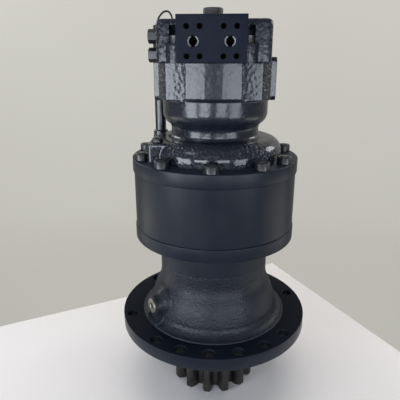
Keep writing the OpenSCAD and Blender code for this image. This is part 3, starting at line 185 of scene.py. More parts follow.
class Workshop:
    """Machines that turn outlines into closed meshes. Outlines are in mm and meshes in metres."""

    @staticmethod
    def link(name: str, data: bpy.types.ID) -> Piece:
        """Puts a mesh or a curve into the scene.

        Args:
            name: Name of the new object.
            data: Its mesh or curve.

        Returns:
            The object, at the origin.
        """
        obj = bpy.data.objects.new(name, data)
        bpy.context.scene.collection.objects.link(obj)
        return obj

    @staticmethod
    def place(name: str, bm: bmesh.types.BMesh) -> Piece:
        """Turns a bmesh into an object in the scene.

        Args:
            name: Name of the new object and its mesh.
            bm: The faces, freed here.

        Returns:
            The object with its faces turned outwards.
        """
        bmesh.ops.recalc_face_normals(bm, faces=bm.faces)
        mesh = bpy.data.meshes.new(name)
        bm.to_mesh(mesh)
        bm.free()
        return Workshop.link(name, mesh)

    @staticmethod
    def band(bm: bmesh.types.BMesh, low: Sequence[bmesh.types.BMVert], high: Sequence[bmesh.types.BMVert]) -> None:
        """Closes the wall between two rings. A ring of one point is the tip of a cone.

        Args:
            bm: The faces made so far.
            low: Points of the first ring.
            high: Points of the second ring.
        """
        steps = max(len(low), len(high))
        for i in range(steps if steps > 1 else 0):
            j = (i + 1) % steps
            corners = [low[i % len(low)], low[j % len(low)], high[j % len(high)], high[i % len(high)]]
            bm.faces.new(list(dict.fromkeys(corners)))

    @staticmethod
    def lathe(name: str, outline: Sequence[Point], steps: int) -> Piece:
        """Turns a closed outline of (radius, height) about Z.

        Args:
            name: Name of the new object.
            outline: Closed outline in mm. Points on the axis have radius 0.
            steps: Facets in a full turn.

        Returns:
            The closed mesh object.
        """
        bm = bmesh.new()
        turns = [2 * math.pi * i / steps for i in range(steps)]
        rings = [[bm.verts.new((0, 0, z * MM))] if r < NEAR else
                 [bm.verts.new((r * MM * math.cos(a), r * MM * math.sin(a), z * MM)) for a in turns]
                 for r, z in outline]
        for low, high in zip(rings, rings[1:] + rings[:1]):
            Workshop.band(bm, low, high)
        return Workshop.place(name, bm)

    @staticmethod
    def loft(name: str, layers: Sequence[tuple[Sequence[Point], float]]) -> Piece:
        """Stacks plan outlines of equal point counts into one closed body.

        Args:
            name: Name of the new object.
            layers: Each outline with its height, from the lowest up, in mm.

        Returns:
            The closed mesh object.
        """
        bm = bmesh.new()
        rings = [[bm.verts.new((x * MM, y * MM, z * MM)) for x, y in points] for points, z in layers]
        bm.faces.new(rings[0][::-1])
        bm.faces.new(rings[-1])
        for low, high in zip(rings, rings[1:]):
            Workshop.band(bm, low, high)
        return Workshop.place(name, bm)

    @staticmethod
    def prism(name: str, outline: Sequence[Point], low: float, high: float) -> Piece:
        """Raises a closed plan outline from one height to another, in mm."""
        return Workshop.loft(name, [(outline, low), (outline, high)])

    @staticmethod
    def rod(name: str, radius: float, low: float, high: float, steps: int = Facets.ROD) -> Piece:
        """A round bar along Z, sizes in mm."""
        return Workshop.lathe(name, box(0, low, radius, high), steps)

    @staticmethod
    def hexagon(name: str, radius: float, low: float, high: float) -> Piece:
        """A hexagonal bar along Z, by its corner radius in mm."""
        return Workshop.prism(name, arc((0, 0), radius, 0, 300, 5), low, high)

    @staticmethod
    def moved(obj: Piece, matrix: Matrix) -> Piece:
        """Applies a matrix to the mesh, so that the object stays at the origin."""
        obj.data.transform(matrix)
        return obj

    @staticmethod
    def copies(obj: Piece, places: Iterable[Matrix]) -> Piece:
        """Repeats a mesh inside its own object.

        Args:
            obj: The piece made once, at the origin.
            places: Where it goes.

        Returns:
            The same object, with the mesh once at each place.
        """
        bm = bmesh.new()
        for matrix in places:
            start = len(bm.verts)
            bm.from_mesh(obj.data)
            bm.verts.ensure_lookup_table()
            bmesh.ops.transform(bm, matrix=matrix, verts=bm.verts[start:])
        bm.to_mesh(obj.data)
        bm.free()
        return obj

    @staticmethod
    def merge(obj: Piece, others: Iterable[Piece]) -> Piece:
        """Puts the meshes of other pieces into one piece.

        Args:
            obj: The piece that takes them up.
            others: Pieces that are removed afterwards.

        Returns:
            The same piece.
        """
        bm = bmesh.new()
        bm.from_mesh(obj.data)
        for other in others:
            bm.from_mesh(other.data)
            bpy.data.objects.remove(other)
        bm.to_mesh(obj.data)
        bm.free()
        return obj

    @staticmethod
    def made(obj: Piece) -> bpy.types.Mesh:
        """The mesh that an object's modifiers or its curve give."""
        bpy.context.view_layer.update()
        return bpy.data.meshes.new_from_object(obj.evaluated_get(bpy.context.evaluated_depsgraph_get()))

    @staticmethod
    def settle(obj: Piece) -> Piece:
        """Applies every modifier of the object to its mesh.

        Args:
            obj: The piece with its modifiers.

        Returns:
            The same piece without them.
        """
        mesh = Workshop.made(obj)
        obj.modifiers.clear()
        obj.data = mesh
        return obj

    @staticmethod
    def join(obj: Piece, tools: Sequence[Piece], how: Blend, solver: Solver = Solver.MANIFOLD) -> Piece:
        """Adds tools to a piece or cuts them from it, and removes the tools.

        Args:
            obj: The piece that is changed.
            tools: Closed meshes, one boolean each.
            how: Add, cut or keep what both share.
            solver: Boolean solver.

        Returns:
            The changed piece.
        """
        for tool in tools:
            modifier = obj.modifiers.new("join", "BOOLEAN")
            modifier.operation = how.value
            modifier.solver = solver.value
            modifier.object = tool
        Workshop.settle(obj)
        for tool in tools:
            bpy.data.objects.remove(tool)
        return obj

    @staticmethod
    def cast(obj: Piece, skin: Skin) -> Piece:
        """Gives a piece the soft edges and uneven skin of a sand casting.

        Args:
            obj: Closed mesh of the pattern.
            skin: How the casting comes out.

        Returns:
            The cast piece.
        """
        remesh = obj.modifiers.new("pour", "REMESH")
        remesh.mode, remesh.voxel_size = "VOXEL", skin.grain * MM
        relax = obj.modifiers.new("relax", "SMOOTH")
        relax.iterations, relax.factor = skin.passes, 0.5
        texture = bpy.data.textures.new("sand", "CLOUDS")
        texture.noise_scale, texture.noise_depth = skin.wave_size * MM, 2
        humps = obj.modifiers.new("skin", "DISPLACE")
        humps.texture, humps.texture_coords = texture, "LOCAL"
        humps.strength, humps.mid_level = skin.wave * 2 * MM, 0.5
        return Workshop.settle(obj)

    @staticmethod
    def bevel(obj: Piece, width: float, segments: int, angle: float = 60) -> Piece:
        """Rounds the steep edges of a piece.

        Args:
            obj: The piece.
            width: Width of the rounding, in mm.
            segments: Faces across it.
            angle: Edges steeper than this are rounded, in degrees.

        Returns:
            The same piece.
        """
        modifier = obj.modifiers.new("edge", "BEVEL")
        modifier.width = width * MM
        modifier.segments = segments
        modifier.limit_method, modifier.angle_limit = "ANGLE", math.radians(angle)
        return Workshop.settle(obj)

    @staticmethod
    def knurl(obj: Piece, radius: float, depth: float, low: float, high: float, steps: int) -> Piece:
        """Presses fine upright grooves into the side of a turned piece.

        Args:
            obj: Piece turned with the given number of steps.
            radius: Radius of the side, in mm.
            depth: Depth of a groove, in mm.
            low: Height where the grooves start, in mm.
            high: Height where they end, in mm.
            steps: Facets of the piece. Every second corner moves inwards.

        Returns:
            The same piece.
        """
        for vertex in obj.data.vertices:
            x, y, z = vertex.co
            turn = round(math.atan2(y, x) / (2 * math.pi / steps))
            if abs(math.hypot(x, y) - radius * MM) < NEAR and low * MM < z < high * MM and turn % 2:
                vertex.co.x, vertex.co.y = x * (1 - depth / radius), y * (1 - depth / radius)
        return obj

    @staticmethod
    def wire(name: str, points: Sequence[Spot], radius: float) -> Piece:
        """Bends a round wire.

        Args:
            name: Name of the new object.
            points: Points that its rounded turns follow, in mm.
            radius: Radius of the wire, in mm.

        Returns:
            The wire as a closed mesh.
        """
        curve = bpy.data.curves.new(name, "CURVE")
        curve.dimensions, curve.use_fill_caps = "3D", True
        curve.bevel_depth, curve.bevel_resolution = radius * MM, 4
        spline = curve.splines.new("NURBS")
        spline.points.add(len(points) - 1)
        for target, point in zip(spline.points, points):
            target.co = (*(Vector(point) * MM), 1)
        spline.use_endpoint_u, spline.order_u, spline.resolution_u = True, 3, 6
        bent = Workshop.link(name + "_curve", curve)
        mesh = Workshop.made(bent)
        bpy.data.objects.remove(bent)
        return Workshop.link(name, mesh)

    @staticmethod
    def shade(obj: Piece, angle: float) -> Piece:
        """Shades a piece smooth.

        Args:
            obj: The piece.
            angle: Edges steeper than this stay sharp, in degrees.

        Returns:
            The same piece.
        """
        obj.data.shade_smooth()
        obj.data.set_sharp_from_angle(angle=math.radians(angle))
        return obj


class Wiring:
    """Adds nodes to one tree, each already joined to what feeds it."""

    def __init__(self, tree: bpy.types.NodeTree) -> None:
        """Takes the tree of a material or of the world."""
        self.tree = tree

    def feed(self, node: Node | str, inputs: Inputs) -> Node:
        """Sets or links inputs of a node.

        Args:
            node: The node, or the name of one that the tree came with.
            inputs: What goes into each input: a plain value, or the output that feeds it.

        Returns:
            The node.
        """
        node = self.tree.nodes[node] if isinstance(node, str) else node
        for key, value in inputs.items():
            if isinstance(value, Socket):
                self.tree.links.new(value, node.inputs[key])
            else:
                node.inputs[key].default_value = value
        return node

    def add(self, kind: str, inputs: Inputs | None = None, **settings: str) -> Node:
        """Adds a node.

        Args:
            kind: Its type, without the word that all shader nodes start with.
            inputs: What goes into its inputs.
            settings: Its own options, set before the inputs.

        Returns:
            The new node.
        """
        node = self.tree.nodes.new("ShaderNode" + kind)
        for option, value in settings.items():
            setattr(node, option, value)
        return self.feed(node, inputs or {})

    def noise(self, place: Socket, size: float, detail: float, roughness: float = 0.5) -> Socket:
        """Adds a soft noise.

        Args:
            place: Where on the surface.
            size: Width of one patch, in mm.
            detail: How many finer layers it has.
            roughness: How strong these are.

        Returns:
            The output with its strength, 0 to 1.
        """
        return self.add("TexNoise", {"Vector": place, "Scale": 1 / (size * MM), "Detail": detail,
                                     "Roughness": roughness}).outputs["Fac"]

    def span(self, share: Socket, **ends: float) -> Socket:
        """Adds a range that turns a share into another measure, its ends given by name."""
        named = {key.replace("_", " ").title(): value for key, value in ends.items()}
        return self.add("MapRange", {"Value": share, **named}).outputs["Result"]

    def mix(self, share: Socket, first: Colour | Socket, second: Colour) -> Socket:
        """Adds a mix of two colours, the first at a share of 0 and the second at 1."""
        return self.add("Mix", {"Factor": share, "A": first, "B": second}, data_type="RGBA").outputs["Result"]

    def scaled(self, first: Socket, factor: float, rest: Socket | float) -> Socket:
        """Adds the first value, times a factor, to the rest."""
        return self.add("Math", {0: first, 1: factor, 2: rest}, operation="MULTIPLY_ADD").outputs[0]


@dataclass(frozen=True)
class Finish:
    """A surface finish, made as nodes on one material. Heights and sizes are in mm."""

    name: str
    colour: Colour
    roughness: float
    metallic: float = 0.0
    coat: float = 0.0
    coat_roughness: float = 0.05
    mottle: float = 0.15
    mottle_size: float = 30.0
    grain_height: float = 0.0
    grain_size: float = 6.0
    hammer_height: float = 0.0
    hammer_size: float = 5.0
    dust: float = 0.0
    shine: float = 0.5
    dust_colour: Colour = (0.2, 0.17, 0.13, 1)
    brushed: bool = False

    def material(self) -> bpy.types.Material:
        """The material with this finish, made once."""
        return bpy.data.materials.get(self.name) or self._make()

    def _make(self) -> bpy.types.Material:
        """Builds the node tree: mottled colour, dust, uneven roughness, and relief where the finish has it.

        Returns:
            The new material.
        """
        material = bpy.data.materials.new(self.name)
        material.use_nodes = True
        tree = Wiring(material.node_tree)
        place = tree.add("TexCoord").outputs["Object"]
        cloud = tree.noise(place, self.mottle_size, 6)
        colour = tree.mix(cloud, self._shade(1 - self.mottle), self._shade(1 + self.mottle))
        if self.dust:
            patch = tree.noise(place, self.mottle_size * DUST_PATCH, 8, 0.65)
            share = tree.span(patch, from_min=DUST_EDGE[0], from_max=DUST_EDGE[1], to_max=self.dust)
            colour = tree.mix(share, colour, self.dust_colour)
        least, most = (min(1.0, self.roughness * factor) for factor in ROUGH_RANGE)
        rough = tree.span(cloud, to_min=least, to_max=most)
        shader = tree.feed("Principled BSDF", {
            "Base Color": colour, "Roughness": rough, "Metallic": self.metallic, "Specular IOR Level": self.shine,
            "Coat Weight": self.coat, "Coat Roughness": self.coat_roughness})
        if self.grain_height:
            tree.feed(shader, {"Normal": self._relief(tree, place)})
        return material

    def _shade(self, factor: float) -> Colour:
        """The colour made lighter or darker by a factor."""
        return (self.colour[0] * factor, self.colour[1] * factor, self.colour[2] * factor, 1)

    def _relief(self, tree: Wiring, place: Socket) -> Socket:
        """The fine relief: sand grain and the dimples of thick paint, or turning marks on steel.

        Args:
            tree: Nodes of the material.
            place: Where on the surface.

        Returns:
            The output with the bent normal.
        """
        if self.brushed:
            place = tree.add("Mapping", {"Vector": place, "Scale": TURNING}).outputs["Vector"]
        height = tree.noise(place, self.grain_size, 4)
        if self.hammer_height:
            cell = tree.add("TexVoronoi", {"Vector": place, "Scale": 1 / (self.hammer_size * MM),
                                           "Smoothness": DIMPLE_ROUND}, feature="SMOOTH_F1")
            height = tree.scaled(cell.outputs["Distance"], self.hammer_height / self.grain_height, height)
        bump = {"Height": height, "Distance": self.grain_height * MM, "Strength": 1}
        return tree.add("Bump", bump).outputs["Normal"]


class Finishes:
    """Every finish of the drive, by the part that wears it."""

    CASTING = Finish("casting_paint", (0.008, 0.011, 0.021, 1), 0.3, coat=0.8, coat_roughness=0.1,
                     mottle=0.25, grain_height=0.16, grain_size=1.6, hammer_height=3.4, hammer_size=5.4,
                     dust=0.03, shine=0.22)
    CASTING_SMOOTH = Finish("smooth_casting_paint", (0.008, 0.011, 0.021, 1), 0.38, coat=0.75,
                            coat_roughness=0.19, mottle=0.25, grain_height=0.15, grain_size=2.5,
                            hammer_height=1.1, hammer_size=6, dust=0.03, shine=0.15)
    BELL = Finish("bell_paint", (0.008, 0.011, 0.019, 1), 0.44, coat=0.1, coat_roughness=0.3,
                  mottle=0.25, grain_height=0.25, grain_size=1.6, hammer_height=0.8, hammer_size=3.8,
                  dust=0.04, shine=0.3)
    MACHINED = Finish("machined_paint", (0.007, 0.011, 0.02, 1), 0.36, mottle=0.15, mottle_size=60,
                      grain_height=0.05, grain_size=2, dust=0.03, shine=0.25)
    PORT_FACE = Finish("port_face_paint", (0.01, 0.014, 0.025, 1), 0.55, mottle=0.1, mottle_size=40,
                       grain_height=0.03, grain_size=2, dust=0.03, shine=0.1)
    NECK = Finish("neck_paint", (0.009, 0.013, 0.022, 1), 0.45, mottle=0.15, mottle_size=50,
                  grain_height=0.06, grain_size=4, dust=0.04, shine=0.3)
    VALVE = Finish("valve_paint", (0.007, 0.01, 0.02, 1), 0.34, coat=0.45, coat_roughness=0.1,
                   mottle=0.25, grain_height=0.2, grain_size=1.6, hammer_height=1.9, hammer_size=7,
                   dust=0.03, shine=0.3)
    TUBE = Finish("tube_paint", (0.007, 0.009, 0.015, 1), 0.3, coat=0.4, coat_roughness=0.12,
                  mottle=0.2, mottle_size=15, grain_height=0.05, grain_size=3, dust=0.08)
    HARDWARE = Finish("hardware_paint", (0.007, 0.009, 0.013, 1), 0.33, coat=0.3, coat_roughness=0.15,
                      mottle=0.3, mottle_size=8, grain_height=0.12, grain_size=2, dust=0.1)
    # Upper side of the mounting flange: a less shiny spray, and a darker colour that is painted shade.
    FLANGE_TOP_SHADE = Finish("flange_top_shaded_paint", (0.003, 0.005, 0.01, 1), 0.5, mottle=0.25, mottle_size=50,
                        grain_height=0.04, grain_size=2, shine=0.1)
    PINION = Finish("oiled_tooth_steel", (0.065, 0.062, 0.058, 1), 0.34, metallic=0.85, mottle=0.35,
                    mottle_size=14, grain_height=0.06, grain_size=1.5, dust=0.45,
                    dust_colour=(0.03, 0.022, 0.015, 1))
    TOP_PLUG = Finish("dull_plug_steel", (0.09, 0.092, 0.095, 1), 0.5, metallic=0.6, mottle=0.45,
                      mottle_size=7, grain_height=0.3, grain_size=2.5, dust=0.4)
    # Pale steel at the left and right of the port mouths: painted highlight of their lit chamfers.
    MOUTH_HIGHLIGHT = Finish("mouth_highlight_steel", (0.24, 0.25, 0.27, 1), 0.4, metallic=0.3, mottle=0.2, mottle_size=5)
    # Near-black walls of bores and tapped holes: painted shade.
    HOLE_SHADE = Finish("drilled_wall_shade", (0.003, 0.003, 0.004, 1), 0.8, mottle=0.1, shine=0.1)
    ZINC = Finish("pale_zinc", (0.26, 0.26, 0.21, 1), 0.42, metallic=0.75, mottle=0.25, mottle_size=6,
                  grain_height=0.05, grain_size=1, dust=0.2)
    WIRE = Finish("wire_steel", (0.012, 0.012, 0.014, 1), 0.45, metallic=0.2, mottle=0.3, mottle_size=5,
                  grain_height=0.02, grain_size=1)
    STEEL = Finish("ground_steel", (0.45, 0.45, 0.46, 1), 0.28, metallic=1.0, mottle=0.12, mottle_size=20,
                   grain_height=0.01, grain_size=1, brushed=True)
    BRONZE = Finish("machined_bronze", (0.5, 0.31, 0.13, 1), 0.32, metallic=1.0, mottle=0.15, mottle_size=15,
                    grain_height=0.01, grain_size=1, brushed=True)
    RUBBER = Finish("seal_rubber", (0.012, 0.012, 0.013, 1), 0.6, mottle=0.2, mottle_size=8,
                    grain_height=0.02, grain_size=1)


SLOT_FINISH: dict[str, Finish] = {
    "casting_gloss": Finishes.CASTING,
    "casting_satin": Finishes.MACHINED,
    "painted_fittings": Finishes.HARDWARE,
    "oiled_steel": Finishes.PINION,
    "zinc_plug": Finishes.ZINC,
    "bearing_steel": Finishes.STEEL,
    "bronze": Finishes.BRONZE,
    "rubber_seal": Finishes.RUBBER,
}


def dress(obj: Piece, *finishes: Finish) -> Piece:
    """Sets the finishes as the object's material slots, and keeps each face on its slot.

    Args:
        obj: The piece.
        finishes: Its finishes, in the order of the slots.

    Returns:
        The same piece.
    """
    slots = [min(polygon.material_index, len(finishes) - 1) for polygon in obj.data.polygons]
    obj.data.materials.clear()
    for finish in finishes:
        obj.data.materials.append(finish.material())
    obj.data.polygons.foreach_set("material_index", slots)
    return obj


def finished(obj: Piece, *finishes: Finish, angle: float = 30) -> Piece:
    """Shades a piece smooth up to an angle, and dresses it."""
    return dress(Workshop.shade(obj, angle), *finishes)


def fit(obj: Piece, slot: str, *nodes: str, body: str = "casing") -> None:
    """Makes a piece ride on its body in place of CAD nodes, and reports it.

    Args:
        obj: The piece.
        slot: The record's material slot of its CAD nodes; not used.
        nodes: CAD nodes that it stands for.
        body: Body that carries it.
    """
    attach(obj, body)
    if nodes:
        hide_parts(*nodes)
    log.info("%s: %d faces on %s", obj.name, len(obj.data.polygons), body)


@dataclass(frozen=True)
class SocketScrew:
    """A socket-head screw. Its head stands on z = 0 and its sizes are in mm."""

    thread: float
    head: float
    height: float
    socket: float
    depth: float
    grip: float
    groove: float = 0.3

    def make(self, name: str) -> Piece:
        """Turns the head, knurls its side and sinks the hexagon.

        Args:
            name: Name of the piece.

        Returns:
            The screw, upright at the origin.
        """
        edge, r, h = self.height * 0.09, self.head, self.height
        outline = [(0, -self.grip), (self.thread, -self.grip), (self.thread, 0.0), (r - 0.4, 0.0), (r, 0.4),
                   (r, h * 0.2), (r, h * 0.75), (r, h - edge * 0.8), (r - edge, h), (0, h)]
        head = Workshop.lathe(name, outline, Facets.KNURLED)
        Workshop.knurl(head, r, self.groove, h * 0.1, h * 0.8, Facets.KNURLED)
        hexagon = Workshop.hexagon(name + "_socket", self.socket, h - self.depth, h + 1)
        entry = self.socket * 1.06
        cone = Workshop.lathe(name + "_entry", [(0, h - entry * 0.5), (entry, h + 0.01), (entry, h + 1), (0, h + 1)],
                              Facets.BORE)
        socket = Workshop.join(hexagon, [cone], Blend.ADD, Solver.EXACT)
        return Workshop.join(head, [socket], Blend.CUT, Solver.EXACT)


@dataclass(frozen=True)
class HexFitting:
    """A hexagon fitting that stands on z = 0, and the height of its axis on the casing. Sizes in mm."""

    level: float
    radius: float
    dimple: float = 0.0
    height: float = 19.0
    collar_h: float = 3.4
    edge: float = 1.2
    thread_r: float = 9.6
    grip: float = 12.0
    pin_r: float = 3.0

    def make(self, name: str) -> Piece:
        """Mills the hexagon, breaks its corners and turns the collar.

        Args:
            name: Name of the piece.

        Returns:
            The fitting, upright at the origin.
        """
        r, h, low, thread = self.radius, self.height, self.collar_h, self.thread_r
        flat = r * math.cos(math.pi / 6)
        body = Workshop.hexagon(name, r, low, h)
        cone = Workshop.lathe(name + "_cone", [(0, low), (r + 1, low), (r + 1, h - self.edge), (flat, h), (0, h)],
                              Facets.TUBE)
        Workshop.join(body, [cone], Blend.MEET, Solver.EXACT)
        if self.dimple:
            self._lock(name, body)
        collar = soften([(0, -self.grip), (thread, -self.grip), (thread, 0), (r, 0), (r, 3), (flat - 0.3, 3),
                         (flat - 0.3, 4), (0, 4)], 0.5, 2, skip=(0, 1, 2, 6, 7))
        return Workshop.merge(body, [Workshop.lathe(name + "_collar", collar, Facets.TUBE)])

    def _lock(self, name: str, body: Piece) -> None:
        """Sinks the recess of the locking screw, with the screw's end in it.

        Args:
            name: Name of the piece.
            body: The hexagon.
        """
        d, p, h = self.dimple, self.pin_r, self.height
        hole = Workshop.lathe(name + "_dimple", [(0, h - 2.5), (d - 0.6, h - 2.5), (d, h - 2), (d, h - 0.4),
                                                 (d + 0.8, h + 0.4), (0, h + 0.4)], Facets.BORE)
        Workshop.join(body, [hole], Blend.CUT, Solver.EXACT)
        pin = Workshop.lathe(name + "_pin", [(0, h - 4), (p, h - 4), (p, h - 1.4), (p - 0.6, h - 0.8), (0, h - 0.8)],
                             Facets.PIN)
        Workshop.merge(body, [pin])


@dataclass
class LowerHousing:
    """Mounting flange, bell, neck and top flange, with the level plug. Sizes in mm."""

    flange_r: float = 196.5
    flange_t: float = 26.0
    spigot_r: float = 150.0
    spigot_h: float = 12.0
    bore_r: float = 91.0
    lap: float = 6.0
    recess: float = 4.0
    flange_edge: float = 1.2
    hole_r: float = 11.0
    hole_edge: float = 0.8
    hole_circle_r: float = 178.25
    hole_steps: tuple[int, ...] = (0, 1, 2, 3, 6, 8, 9, 10, 11, 12, 13, 16, 18, 19)
    hole_step: float = 18.0
    rim_r: float = 154.0
    rim_z: float = 28.0
    foot: Point = (134.0, 48.0)
    wall_r: float = 96.0
    neck_r: float = 111.5
    neck_bore_r: float = 98.0
    neck_z: float = 142.0
    neck_blend: float = 60.0
    neck_fillet: float = 6.0
    bulge_centre: Point = (-67.8, 6.55)
    bulge_r: float = 206.0
    skin: Skin = Skin(1.5, 5, 0.22)
    top_r: float = 161.5
    top_low: float = 200.8
    top_high: float = 226.6
    top_bore_r: float = 104.0
    top_edge: float = 1.6
    pilot_r: float = 126.0
    pilot_h: float = 10.0
    level_angle: float = -54.0
    level_z: float = 65.8
    level_boss_r: float = 21.0
    level_flare: tuple[Point, ...] = ((14, 100), (13, 119), (8, 128), (3.5, 134.5), (1, 140), (0, 144))
    level_reach: float = 147.0
    level_web: float = 17.85
    level_thread_r: float = 9.6
    level_ring_r: float = 14.6
    level_head_r: float = 15.0
    level_head_h: float = 4.3
    level_socket_r: float = 6.5

    def build(self) -> None:
        """Makes the casting in its cast and machined pieces, and the plug."""
        fit(self._flange(), "casting_satin", "lower_housing")
        for made in (self._bell, self._neck, self._top_flange):
            fit(made(), "casting_satin")
        fit(self._level_plug(), "zinc_plug", "level_plug")

    def _flange(self) -> Piece:
        """Turned flange with its spigot and drilled holes.

        Returns:
            The flange, its upper side in the second finish.
        """
        t, edge, step = self.flange_t, self.rim_r - self.lap, self.flange_t - self.recess
        outline = soften([(self.bore_r, -self.spigot_h), (self.spigot_r, -self.spigot_h), (self.spigot_r, 0),
                          (self.flange_r, 0), (self.flange_r, t), (edge, t), (edge, step), (self.bore_r, step)],
                         self.flange_edge, 3, skip=(0, 2, 5, 6, 7))
        flange = Workshop.lathe("mounting_flange", outline, Facets.FLANGE)
        r, c, over = self.hole_r, self.hole_edge, 2
        tool = Workshop.lathe("flange_drill", [(0, -over), (r + c + over, -over), (r + c, 0), (r, c), (r, t - c),
                                               (r + c, t), (r + c + over, t + over), (0, t + over)], Facets.BORE)
        Workshop.copies(tool, [Matrix.Translation(turned(self.hole_circle_r, self.hole_step * s))
                               for s in self.hole_steps])
        Workshop.join(flange, [tool], Blend.CUT)
        # Up-facing faces take the darker finish: painted shade on the flange top.
        for polygon in flange.data.polygons:
            if polygon.normal.z > UPWARDS:
                polygon.material_index = 1
        return finished(flange, Finishes.MACHINED, Finishes.FLANGE_TOP_SHADE)

    def _bell(self) -> Piece:
        """Rough cast bell with the rim at its foot and the boss of the level plug.

        Returns:
            The bell, with the boss faced.
        """
        base, centre, blend = self.flange_t - self.lap, self.bulge_centre, self.neck_blend
        fillet = arc((self.rim_r, self.foot[1]), self.foot[1] - self.rim_z, 260, 180, 14)
        low = math.degrees(math.atan2(self.foot[1] - centre[1], self.foot[0] - centre[0]))
        reach, out = self.bulge_r + blend, self.neck_r + blend - centre[0]
        rise = math.sqrt(reach ** 2 - out ** 2)
        high = math.degrees(math.atan2(rise, out))
        bulge = [*arc(centre, self.bulge_r, low, high, 14),
                 *arc((self.neck_r + blend, centre[1] + rise), blend, 180 + high, 180, 6)]
        top = self.neck_z + 2
        outline = [(self.wall_r, base), (self.rim_r, base), (self.rim_r, self.rim_z), *fillet, *bulge[1:],
                   (self.neck_r, top), (self.wall_r, top)]
        bell = Workshop.lathe("cast_bell", outline, Facets.BELL)
        Workshop.join(bell, self._level_boss(), Blend.ADD)
        Workshop.cast(bell, self.skin)
        face = Workshop.rod("boss_face", self.level_boss_r + 9, self.level_reach, self.level_reach + 20, Facets.TUBE)
        Workshop.join(bell, [Workshop.moved(face, self._level_turn())], Blend.CUT)
        return finished(bell, Finishes.BELL, angle=40)

    def _level_turn(self) -> Matrix:
        """Lays a piece made along Z on the axis of the level plug."""
        return spin(self.level_angle) @ shift(0, 0, self.level_z) @ spin(90, "X")

    def _level_boss(self) -> list[Piece]:
        """The round boss and the web under it, longer than needed, for the face cut.

        Returns:
            Both forms in their place.
        """
        r, w, high = self.level_boss_r, self.level_web, self.level_reach + 4
        low = self.level_flare[0][1]
        flare = [(r + wider, z) for wider, z in self.level_flare]
        boss = Workshop.lathe("level_boss", [(0, low), *flare, (r, high), (0, high)], Facets.BORE)
        web = Workshop.prism("level_web", box(-w, -high, w, -low), self.flange_t - 3, self.level_z)
        return [Workshop.moved(boss, self._level_turn()), Workshop.moved(web, spin(self.level_angle))]

    def _neck(self) -> Piece:
        """Smooth neck that flows into the top flange.

        Returns:
            The neck.
        """
        r, low, high, f = self.neck_r, self.neck_z - self.lap, self.top_low, self.neck_fillet
        outline = [(self.neck_bore_r, low), (r - 0.6, low), (r - 0.3, self.neck_z), (r, self.neck_z + 3),
                   *arc((r + f, high - f), f, 180, 90, 8), (r + f, high + 2), (self.neck_bore_r, high + 2)]
        return finished(Workshop.lathe("housing_neck", outline, Facets.BELL), Finishes.NECK)

    def _top_flange(self) -> Piece:
        """Turned top flange that carries the ring gear.

        Returns:
            The flange.
        """
        step = self.top_high - self.pilot_h
        outline = soften([(self.top_bore_r, self.top_low), (self.top_r, self.top_low), (self.top_r, self.top_high),
                          (self.pilot_r, self.top_high), (self.pilot_r, step), (self.top_bore_r, step)],
                         self.top_edge, 4, skip=(0, 3, 4, 5))
        return finished(Workshop.lathe("housing_top_flange", outline, Facets.FLANGE), Finishes.MACHINED)

    def _level_plug(self) -> Piece:
        """Zinc plug with a hexagon socket and a sealing ring under its head.

        Returns:
            The plug, screwed into its boss.
        """
        z, r, h = self.level_reach, self.level_head_r, self.level_head_h
        thread, ring = self.level_thread_r, self.level_ring_r
        outline = [(0, z - 14), (thread, z - 14), (thread, z), (ring, z), (ring, z + 0.9), (r - 1, z + 1.0),
                   (r, z + 1.4), (r, z + 3.3), (r - 0.8, z + h), (0, z + h)]
        plug = Workshop.lathe("level_plug_head", outline, Facets.TUBE)
        socket = Workshop.hexagon("level_socket", self.level_socket_r, z - 2, z + 6)
        cone = Workshop.lathe("level_entry", [(0, z - 1.2), (8, z + 4.8), (8, z + 6), (0, z + 6)], Facets.BORE)
        Workshop.join(plug, [socket, cone], Blend.CUT, Solver.EXACT)
        return finished(Workshop.moved(plug, self._level_turn()), Finishes.ZINC)


@dataclass
class RingBolts:
    """The long screws that hold the casing, the ring gear and the housing together. Sizes in mm."""

    circle_r: float = 147.0
    seat_z: float = 362.6
    angles: tuple[float, ...] = (0, 36, 62, 108, 134, 157, 180, -156, -130, -104, -67, -37)
    screw: SocketScrew = SocketScrew(8, 13.44, 13.76, 6.88, 8, 20)
    twist: float = 37.0

    def build(self) -> None:
        """Makes one screw and sets it in every place, each turned its own way."""
        bolts = self.screw.make("casing_screws")
        seat = Vector((0, 0, self.seat_z * MM))
        Workshop.copies(bolts, [Matrix.Translation(turned(self.circle_r, a) + seat) @ spin(self.twist * i)
                                for i, a in enumerate(self.angles)])
        fit(finished(bolts, Finishes.HARDWARE), "painted_fittings", "ring_bolts")


